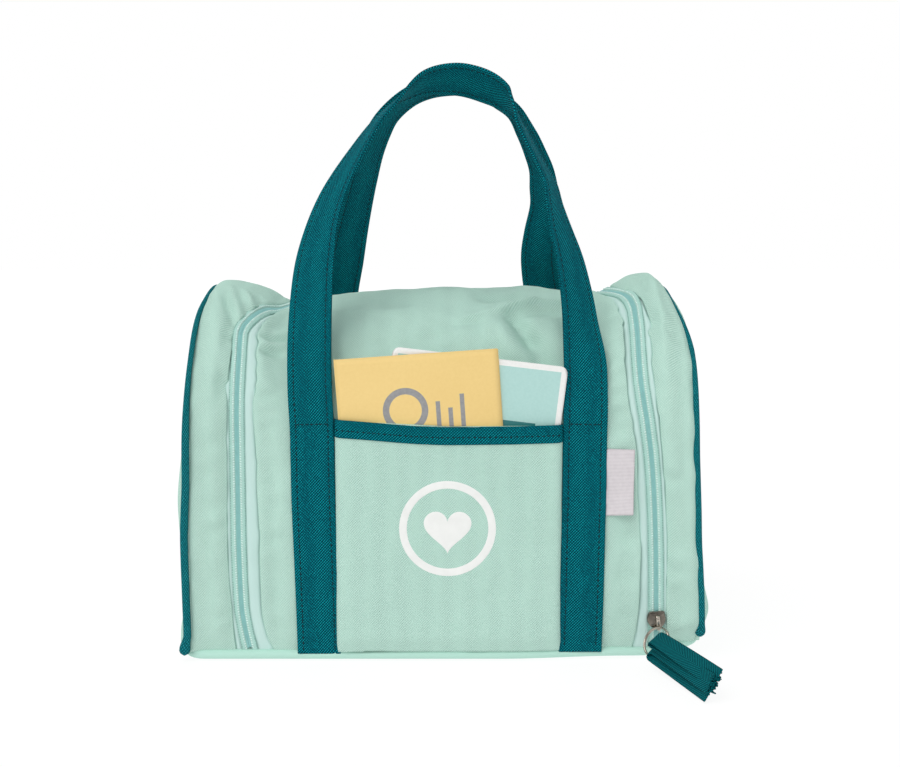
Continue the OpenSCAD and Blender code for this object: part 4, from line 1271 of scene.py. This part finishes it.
# printed ring and heart
cx0, cz0 = 2.5, 68.0
b = Build()
th = np.linspace(0, 2 * math.pi, 145)[:-1]
rr = np.linspace(20.2, 24.0, 7)
T, RR = np.meshgrid(th, rr, indexing="ij")
X, Z = cx0 + RR * np.sin(T), cz0 + RR * np.cos(T)
lift = 0.16 * np.ones_like(X)
lift[:, 0] = lift[:, -1] = 0.02
b.grid(pocket_pt(X, Z, pocket_n(X, Z) + lift), np.stack([X, Z], -1), wrap_i=True)
t = np.linspace(0, 2 * math.pi, 97)[:-1]
hx, hz = 16 * np.sin(t) ** 3, 13 * np.cos(t) - 5 * np.cos(2 * t) - 2 * np.cos(3 * t) - np.cos(4 * t)
rad = np.linspace(1.0, 0.0, 12)
X, Z = cx0 + 0.74 * hx[:, None] * rad[None], cz0 - 0.2 + 0.74 * (hz[:, None] * rad[None] + 2.4 * (1 - rad[None]) * 0)
lift = 0.16 * np.ones_like(X)
lift[:, 0] = 0.02
b.grid(pocket_pt(X, Z, pocket_n(X, Z) + lift), np.stack([X, Z], -1), wrap_i=True)
ob = b.make("pocket_print")
add_piece(ob, print_mat, "bag", "print", ["pocket_motif"])

# ---------------------------------------------------------------- label
satin, nt, bsdf = new_mat("satin_ribbon")
N = Nodes(nt)
u, v, vec = N.uv()
rib = N.math("SINE", N.math("MULTIPLY", v, 2 * math.pi / 0.7))
no = N.noise(N.obj(), 500.0, 3.0)
hgt = N.math("ADD", N.math("MULTIPLY", rib, 0.5), no)
nt.links.new(N.ramp(hgt, [(0.0, (0.55, 0.51, 0.535)), (0.9, (0.72, 0.68, 0.70))]), bsdf.inputs["Base Color"])
nt.links.new(N.bump(hgt, 0.00004, 1.0), bsdf.inputs["Normal"])
bsdf.inputs["Roughness"].default_value = 0.42
bsdf.inputs["Sheen Weight"].default_value = 0.1

lx0, lx1, lz0, lz1 = FR + 10.7, FR + 24.6, 74.0, 107.2
b = Build()
lu, lv = np.linspace(0, 1, 16), np.linspace(0, 1, 34)
U, V = np.meshgrid(lu, lv, indexing="ij")
X = lx0 + (lx1 - lx0) * U - 0.6 * (1 - V) * U
Z = lz0 + (lz1 - lz0) * V + 0.7 * U * (1 - V) - 0.4 * U * V
curl = 1.9 * (1 - V) ** 3 * U + 0.5 * U
Nn = 1.0 + 0.5 * U + curl + 0.12 * np.sin(V * 9 + 1)
top = pocket_pt(X, Z, Nn)
bot = pocket_pt(X, Z, Nn - 0.35)
b.loft(np.concatenate([top, bot[:, ::-1]], 1), np.concatenate([np.stack([X, Z], -1)] * 2, 1))
top2 = pocket_pt(X + 0.25, Z + 0.35, Nn - 0.45 - 0.7 * U)
bot2 = pocket_pt(X + 0.25, Z + 0.35, Nn - 0.75 - 0.7 * U)
b.loft(np.concatenate([top2, bot2[:, ::-1]], 1), np.concatenate([np.stack([X, Z], -1)] * 2, 1))
add_piece(fix_out(b.make("side_label_ribbon")), satin, "bag", "satin", ["side_label"])

# ---------------------------------------------------------------- booklet and card


def card_like(build, x, z, w, h, turn, y, t, bend=0.0, radius=0.0, nx=30, nz=40, twist=0.0):
    """A flat sheet hung from its top left corner and turned in its own plane, gently bent."""
    c, s_ = math.cos(math.radians(turn)), math.sin(math.radians(turn))
    a = np.linspace(0, 1, nx)
    d = np.linspace(0, 1, nz)
    A, D = np.meshgrid(a, d, indexing="ij")
    px, pz = A * w, -D * h
    if radius:
        # pull the grid in at the rounded corners
        for cxr, czr in ((radius, -radius), (w - radius, -radius), (radius, -h + radius), (w - radius, -h + radius)):
            inx = (px < radius) if cxr == radius else (px > w - radius)
            inz = (pz > -radius) if czr == -radius else (pz < -h + radius)
            m = inx & inz
            dx, dz = px - cxr, pz - czr
            rr_ = np.maximum(np.hypot(dx, dz), 1e-6)
            mx = np.maximum(np.abs(dx), np.abs(dz))
            f_ = np.where(m, mx / rr_, 1.0)
            px, pz = np.where(m, cxr + dx * f_, px), np.where(m, czr + dz * f_, pz)
    yy = y - bend * np.sin(math.pi * A) * (0.4 + 0.6 * D) + twist * (A - 0.5) * (1 - D)
    Z = z + pz * c + px * s_
    X = x + px * c - pz * s_
    front = np.stack([X, yy, Z], -1)
    rear = np.stack([X, yy + t, Z], -1)
    uv = np.stack([px, pz], -1)
    build.loft(np.concatenate([front, rear[:, ::-1]], 1), np.concatenate([uv, uv[:, ::-1] + np.array([500.0, 0])], 1))


def ring_mask(N, u, v, cx, cz, r, w):
    """1 on a ring line of half width w about (cx, cz)."""
    dx, dz = N.math("SUBTRACT", u, cx), N.math("SUBTRACT", v, cz)
    d = N.math("SQRT", N.math("ADD", N.math("MULTIPLY", dx, dx), N.math("MULTIPLY", dz, dz)))
    return N.math("LESS_THAN", N.math("ABSOLUTE", N.math("SUBTRACT", d, r)), w)


def box_mask(N, u, v, x0, x1, z0, z1):
    a = N.math("MULTIPLY", N.math("GREATER_THAN", u, x0), N.math("LESS_THAN", u, x1))
    b_ = N.math("MULTIPLY", N.math("GREATER_THAN", v, z0), N.math("LESS_THAN", v, z1))
    return N.math("MULTIPLY", a, b_)


paper, nt, bsdf = new_mat("yellow_paper")
N = Nodes(nt)
u, v, vec = N.uv()
fib = N.noise(N.obj(), 700.0, 4.0, 0.6)
tone = N.noise(N.obj(), 14.0, 2.0)
fac = N.math("ADD", N.math("MULTIPLY", fib, 0.35), N.math("MULTIPLY", tone, 0.65))
yel = N.ramp(fac, [(0.3, (0.80, 0.565, 0.205)), (0.7, (0.87, 0.635, 0.25))])
m = ring_mask(N, u, v, 33.0, -27.5, 9.6, 1.6)
m = N.math("MAXIMUM", m, box_mask(N, u, v, 48.0, 50.2, -40.0, -24.0))
m = N.math("MAXIMUM", m, box_mask(N, u, v, 54.0, 56.2, -40.0, -27.5))
m = N.math("MAXIMUM", m, box_mask(N, u, v, 60.0, 62.2, -40.0, -21.0))
grey = N.ramp(fib, [(0.3, (0.255, 0.255, 0.26)), (0.7, (0.32, 0.32, 0.325))])
nt.links.new(N.mix(m, yel, grey), bsdf.inputs["Base Color"])
nt.links.new(N.bump(fib, 0.00003, 1.0), bsdf.inputs["Normal"])
bsdf.inputs["Roughness"].default_value = 0.62

b = Build()
card_like(b, -53.0, 152.0, 80.0, 140.0, 4.0, -77.55, 0.35, bend=0.0)
card_like(b, -52.9, 151.7, 80.4, 139.6, 3.9, -76.78, 0.35, bend=0.0)
# rounded fold that joins the two leaves
fa = np.linspace(-math.pi / 2, math.pi / 2, 9)
fd = np.linspace(0, 1, 30)
c_, s_ = math.cos(math.radians(4)), math.sin(math.radians(4))
F = []
for dd in fd:
    pz = -dd * 140.0
    ox, oz = -53.0 - pz * s_, 152.0 + pz * c_
    outer = [(ox - 0.55 * math.cos(a), -76.98 + 0.575 * math.sin(a), oz) for a in fa]
    inner = [(ox - 0.15 * math.cos(a), -76.98 + 0.22 * math.sin(a), oz) for a in fa[::-1]]
    F.append(outer + inner)
F = np.array(F)
uvF = np.stack([np.zeros(F.shape[:2]) - 5, F[..., 2] - 152], -1)
b.loft(F, uvF)
add_piece(fix_out(b.make("booklet_leaves")), paper, "booklet_body", "booklet_paper", ["booklet"])

stock, nt, bsdf = new_mat("blue_green_card")
N = Nodes(nt)
u, v, vec = N.uv()
fib = N.noise(N.obj(), 900.0, 3.0)
blue = N.ramp(fib, [(0.3, (0.405, 0.65, 0.61)), (0.7, (0.44, 0.68, 0.64))])
white = N.ramp(fib, [(0.3, (0.82, 0.82, 0.80)), (0.7, (0.86, 0.86, 0.84))])
inside = box_mask(N, u, v, 2.9, 86.8 - 3.0, -138.0 + 3.0, -2.9)
dark = box_mask(N, u, v, 30.0, 74.2, -80.0, -29.6)
c1 = N.mix(inside, white, blue)
c2 = N.mix(dark, c1, (0.012, 0.17, 0.175))
nt.links.new(c2, bsdf.inputs["Base Color"])
nt.links.new(N.bump(fib, 0.00001, 1.0), bsdf.inputs["Normal"])
bsdf.inputs["Roughness"].default_value = 0.38
bsdf.inputs["Coat Weight"].default_value = 0.15
b = Build()
card_like(b, -24.3, 158.4, 86.8, 138.0, -6.8, -76.3, 0.4, bend=0.0, radius=3.6, nx=72, nz=110)
add_piece(fix_out(b.make("card_sheet")), stock, "card_body", "card_stock", ["card"])

# ---------------------------------------------------------------- slider, split ring, tassel
ZL = math.atan((26.7 - 21.7) / 111)
zip_x = lambda z: 130 - 21.7 - (z + 1) * math.tan(ZL)
slider_c = 15.3 + 5.2
plate_y = -75.6


def slider_parts():
    """The slider's shield with its lip, and the arch that the ring hangs on. Local axes: x across, z up the zip, out of the cloth towards -y."""
    shield, arch = Build(), Build()
    tilt = math.tan(ZL)
    o = np.array([(-3.5, 4.1), (0.0, 4.35), (4.0, 4.6), (4.5, 2.4), (4.9, 0.6), (4.2, -1.4), (2.9, -3.3), (1.2, -4.3), (-1.2, -4.4), (-3.4, -3.0), (-4.4, -1.3), (-4.8, 0.6), (-4.2, 2.5)])
    ring = np.concatenate([o, o[:1]])
    d = np.r_[0, np.cumsum(np.linalg.norm(np.diff(ring, axis=0), axis=1))]
    t = np.linspace(0, d[-1], 73)[:-1]
    ring = np.stack([np.interp(t, d, ring[:, 0]), np.interp(t, d, ring[:, 1])], 1)
    for _ in range(2):
        ring = (np.roll(ring, 1, 0) + 2 * ring + np.roll(ring, -1, 0)) / 4
    layers = []
    for k, h in ((0.93, -1.3), (0.99, -1.1), (1.0, -0.2), (0.985, 0.35), (0.93, 0.68), (0.80, 0.86), (0.55, 1.06), (0.30, 1.16), (0.05, 1.18)):
        q = ring * k
        layers.append(np.stack([zip_x(slider_c + q[:, 1]) + q[:, 0], np.full(len(q), plate_y + 0.4 - h - 0.10 * np.clip(-q[:, 1], 0, 5)), slider_c + q[:, 1]], 1))
    shield.loft(np.array(layers))
    # raised lip along the top edge
    lip = np.array([(-3.6, 3.95), (-1.8, 4.2), (0.2, 4.3), (2.2, 4.4), (4.0, 4.45)])
    tube_path(shield, spline([(zip_x(slider_c + z) + x, plate_y - 0.55, slider_c + z) for x, z in lip], 20), 0.42, 10)
    # the arch: a flat strip from the upper part of the shield, over, and down below its middle
    pts = np.array([(0.45, 2.6, 0.3), (0.45, 2.35, 1.7), (0.5, 1.2, 2.35), (0.6, -0.8, 2.45), (0.7, -2.8, 2.3), (0.75, -4.3, 1.8), (0.75, -4.6, 0.3)])
    mid = spline([(zip_x(slider_c + z) + x, plate_y - 0.1 - n, slider_c + z) for x, z, n in pts], 40)
    tan_ = unit(np.gradient(mid, axis=0))
    wd = unit(np.array([1.0, 0, -tilt]))
    nd = unit(np.cross(tan_, wd))
    sec = stadium(1.0, 0.42, 4, 4)
    P = mid[:, None] + sec[None, :, :1] * wd + sec[None, :, 1:] * nd[:, None]
    arch.loft(P)
    return shield, arch


ring_top = np.array([zip_x(18), plate_y - 1.2 - 2.3, slider_c - 3.8 + 0.6 + 0.45])
ring_down = unit(np.array([-0.12, -0.50, -0.84]))
ring_out = np.array([0.64, -0.77, 0.0])
ring_out = unit(ring_out - (ring_out @ ring_down) * ring_down)
ring_nrm = np.cross(ring_down, ring_out)
ring_mid = ring_top + ring_down * 7.6
loop_at = ring_mid + ring_out * 7.5
tip = np.array([124.5, -136.0, 7.0])
t_dir = unit(tip - loop_at)

# herringbone ribbon
ribbon, nt, bsdf = new_mat("herringbone_ribbon")
N = Nodes(nt)
u, v, vec = N.uv()
au = N.math("ABSOLUTE", u)
chev = N.math("SINE", N.math("MULTIPLY", N.math("ADD", au, v), 2 * math.pi / 1.5))
cross = N.math("SINE", N.math("MULTIPLY", N.math("SUBTRACT", v, N.math("MULTIPLY", au, 0.6)), 2 * math.pi / 0.75))
no = N.noise(N.obj(), 1500.0, 3.0)
hgt = N.math("ADD", N.math("ADD", N.math("MULTIPLY", chev, 0.75), N.math("MULTIPLY", cross, 0.2)), N.math("MULTIPLY", N.math("SUBTRACT", no, 0.5), 0.8))
fac = N.math("MULTIPLY_ADD", hgt, 0.46, 0.5)
nt.links.new(N.ramp(fac, [(0.0, (0.0, 0.030, 0.042)), (0.5, (0.0, 0.077, 0.093)), (1.0, (0.004, 0.215, 0.235))]), bsdf.inputs["Base Color"])
nt.links.new(N.bump(hgt, 0.00014, 1.0), bsdf.inputs["Normal"])
bsdf.inputs["Roughness"].default_value = 0.85
bsdf.inputs["Specular IOR Level"].default_value = 0.08


def ribbon_band(build, rws, n, t=0.62, fray=None, seed=0):
    """A strip of ribbon through rows of [right edge, left edge], with frayed threads at its ends."""
    p = spline(np.array(rws, float), n)
    g = np.random.default_rng(seed)
    mids, half = p.mean(1), np.linalg.norm(p[:, 0] - p[:, 1], axis=1) / 2
    tan_ = unit(np.gradient(mids, axis=0))
    wdir = unit(p[:, 0] - p[:, 1])
    nd = unit(np.cross(wdir, tan_))
    w = np.linspace(-1, 1, 17)
    h = t / 2 * np.sqrt(np.clip(1 - np.clip((np.abs(w) - 0.9) / 0.1, 0, 1) ** 2, 0, 1)) + 1e-3
    top = mids[:, None] + wdir[:, None] * (w[None] * half[:, None])[..., None] + nd[:, None] * h[None, :, None]
    bot = mids[:, None] + wdir[:, None] * (w[None] * half[:, None])[..., None] - nd[:, None] * h[None, :, None]
    loop = np.concatenate([top[:, :-1], bot[:, ::-1][:, :-1]], 1)
    W = np.concatenate([w[:-1], w[::-1][:-1]]) * 5.3
    L = np.r_[0, np.cumsum(np.linalg.norm(np.diff(mids, axis=0), axis=1))]
    L = np.abs(L - L[-1] / 2)
    build.loft(loop, np.stack([np.broadcast_to(W[None], (n, len(W))), np.broadcast_to(L[:, None], (n, len(W)))], -1))
    for end, count, reach in fray or ():
        o = -1.0 if end == 0 else 1.0
        for _ in range(count):
            ww = g.uniform(-0.97, 0.9)
            start = mids[end] + wdir[end] * ww * half[end] - tan_[end] * o * 0.8
            ln = g.uniform(0.4, 1.0) * reach
            dirv = unit(tan_[end] * o + wdir[end] * g.uniform(-0.35, 0.35) + nd[end] * g.uniform(-0.35, 0.35))
            bend = wdir[end] * g.uniform(-0.5, 0.5) + nd[end] * g.uniform(-0.5, 0.5)
            q = np.array([start, start + dirv * (ln * 0.5 + 0.8), start + dirv * (ln + 0.8) + bend * 0.5])
            tube_path(build, spline(q, 5), np.linspace(0.62, 0.34, 5), 6)


def lift(p, dz=0.35):
    """Keeps a point off the floor."""
    p = np.array(p, float)
    p[2] = max(p[2], dz)
    return p


def tassel_parts():
    b = Build()
    w_tip = unit(np.array([0.51, 0.13, 0.85])) * 10.8
    w_top = unit(np.array([0.64, 0.58, 0.50])) * 10.4

    def lerp(a, c, k):
        return a + (c - a) * k

    # outer ribbon: the flap on top, the fold inside the ring, the flap at the bottom
    a1, b1 = seen_at(662.5, 632.1, -83.0), seen_at(648.9, 642.5, -89.4)
    a1t, b1t = seen_at(722.9, 669.2, -137.3), seen_at(710.8, 689.2, -138.7)
    b4, b4t = lift(seen_at(646.6, 659.3, -87.5)), lift(seen_at(704.2, 702.4, -140.3))
    a4, a4t = b4 + w_top, b4t + w_tip
    up = np.array([-0.55, -0.45, 0.7])
    # two ribbons, each folded round the ring: the upper pair of layers and the lower pair
    b2, b2t = seen_at(650.6, 648.2, -88.2), seen_at(711.6, 692.6, -138.8)
    b3, b3t = seen_at(650.2, 653.4, -87.4), lift(seen_at(705.8, 694.2, -139.2))
    a2, a2t, a3, a3t = b2 + w_top * 0.97, b2t + w_tip * 0.95, b3 + w_top * 0.97, b3t + w_tip * 0.95
    a2t, a3t = a2t + np.array([-1.0, 1.6, 0.1]), a3t + np.array([-1.0, 1.6, 0.1])

    def layer(near, far, near_t, far_t, sag, ks):
        return [[lerp(far, far_t, k) + up * sag * math.sin(math.pi * k), lerp(near, near_t, k) + up * sag * math.sin(math.pi * k)] for k in ks]

    def fold(p, q, wp, wq, reach):
        mid = (p + q) / 2 + np.array([-reach, 0.1, 0.1])
        return [[lerp(p, mid, 0.6) + (wp + wq) / 2, lerp(p, mid, 0.6) + np.array([0, 0, 0.25])], [mid + (wp + wq) / 2, mid], [lerp(q, mid, 0.6) + (wp + wq) / 2, lerp(q, mid, 0.6) - np.array([0, 0, 0.25])]]

    down = (1.0, 0.75, 0.5, 0.25, 0.02)
    rows_a = layer(b1, a1, b1t, a1t, 1.0, down) + fold(b1, b2, a1 - b1, a2 - b2, 1.0) + layer(b2, a2, b2t, a2t, 0.1, down[::-1])
    ribbon_band(b, rows_a, 130, fray=((-1, 20, 3.0),), seed=301)
    rows_b = layer(b3, a3, b3t, a3t, 1.3, down) + fold(b3, b4, a3 - b3, a4 - b4, 1.0) + layer(b4, a4, b4t, a4t, -0.4, down[::-1])
    ribbon_band(b, rows_b, 130, fray=((0, 20, 3.0),), seed=302)
    return b


def ring_parts():
    b = Build()
    turns, n = 2.0, 200
    a = np.linspace(0, 2 * math.pi * turns, n) + 2.2
    off = np.linspace(-0.62, 0.62, n)
    P = ring_mid + ring_down * (7.6 * np.cos(a))[:, None] + ring_out * (7.6 * np.sin(a))[:, None] + ring_nrm * off[:, None]
    r = np.full(n, 0.52)
    tan_ = unit(np.gradient(P, axis=0))
    n0 = unit(P - ring_mid - ((P - ring_mid) @ ring_nrm)[:, None] * ring_nrm)
    b0 = np.cross(tan_, n0)
    seg = np.arange(12) / 12 * 2 * math.pi
    Q = P[:, None] + r[:, None, None] * (np.cos(seg)[None, :, None] * n0[:, None] + np.sin(seg)[None, :, None] * b0[:, None])
    b.loft(Q)
    return b


for side, sgn in (("right", 1.0), ("left", -1.0)):
    # the shield takes the darker nickel copy (painted shade), the arch the plain nickel plate
    for bb, mat, suffix in zip(slider_parts(), (dark_nickel, nickel), ("shield", "arch")):
        for arr in bb.v:
            arr[:, 0] *= sgn
            arr[:, 1] *= sgn
        ob = fix_out(bb.make(f"{side}_slider_{suffix}"))
        add_piece(ob, mat, f"{side}_slider_body", "nickel", [f"{side}_slider"])
    for make, mat, suffix, owner, slot_name, node in (
        (tassel_parts, ribbon, "tassel_ribbon", "tassel_body", "ribbon", "tassel"),
        (ring_parts, nickel, "double_ring", "ring_body", "nickel", "split_ring"),
    ):
        bb = make()
        for arr in bb.v:
            arr[:, 0] *= sgn
            arr[:, 1] *= sgn
        ob = fix_out(bb.make(f"{side}_{suffix}"))
        add_piece(ob, mat, None if node == "tassel" else f"{side}_{owner}", slot_name, [f"{side}_{node}"])
        if node == "tassel":
            # the ribbon's folds lie round the ring as built, and its mesh is baked into world space; the two points
            # along its hang below are worked out but not used
            ends = [(loop_at + t_dir * k) * np.array([sgn, sgn, 1.0]) * 0.001 for k in (1.5, 11.0)]
            tuple(map(float, ends[0]))
            tuple(map(float, ends[1]))
            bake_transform(ob)

# ---------------------------------------------------------------- floor
bpy.ops.mesh.primitive_plane_add(size=12.0, location=(0, 0, -0.0006))
floor = bpy.context.active_object
floor.name = "studio_floor"
fm, nt, bsdf = new_mat("pale_floor")
bsdf.inputs["Base Color"].default_value = (0.12, 0.12, 0.12, 1)
bsdf.inputs["Emission Color"].default_value = (1, 1, 1, 1)
bsdf.inputs["Emission Strength"].default_value = 0.89
bsdf.inputs["Roughness"].default_value = 0.9
bsdf.inputs["Specular IOR Level"].default_value = 0.1
floor.data.materials.append(fm)

# ---------------------------------------------------------------- leftovers: every shown CAD node gets a finish
for nme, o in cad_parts.items():
    if not o.hide_render and nme not in ("base_board",):
        o.data.materials.clear()
        o.data.materials.append(canvas)
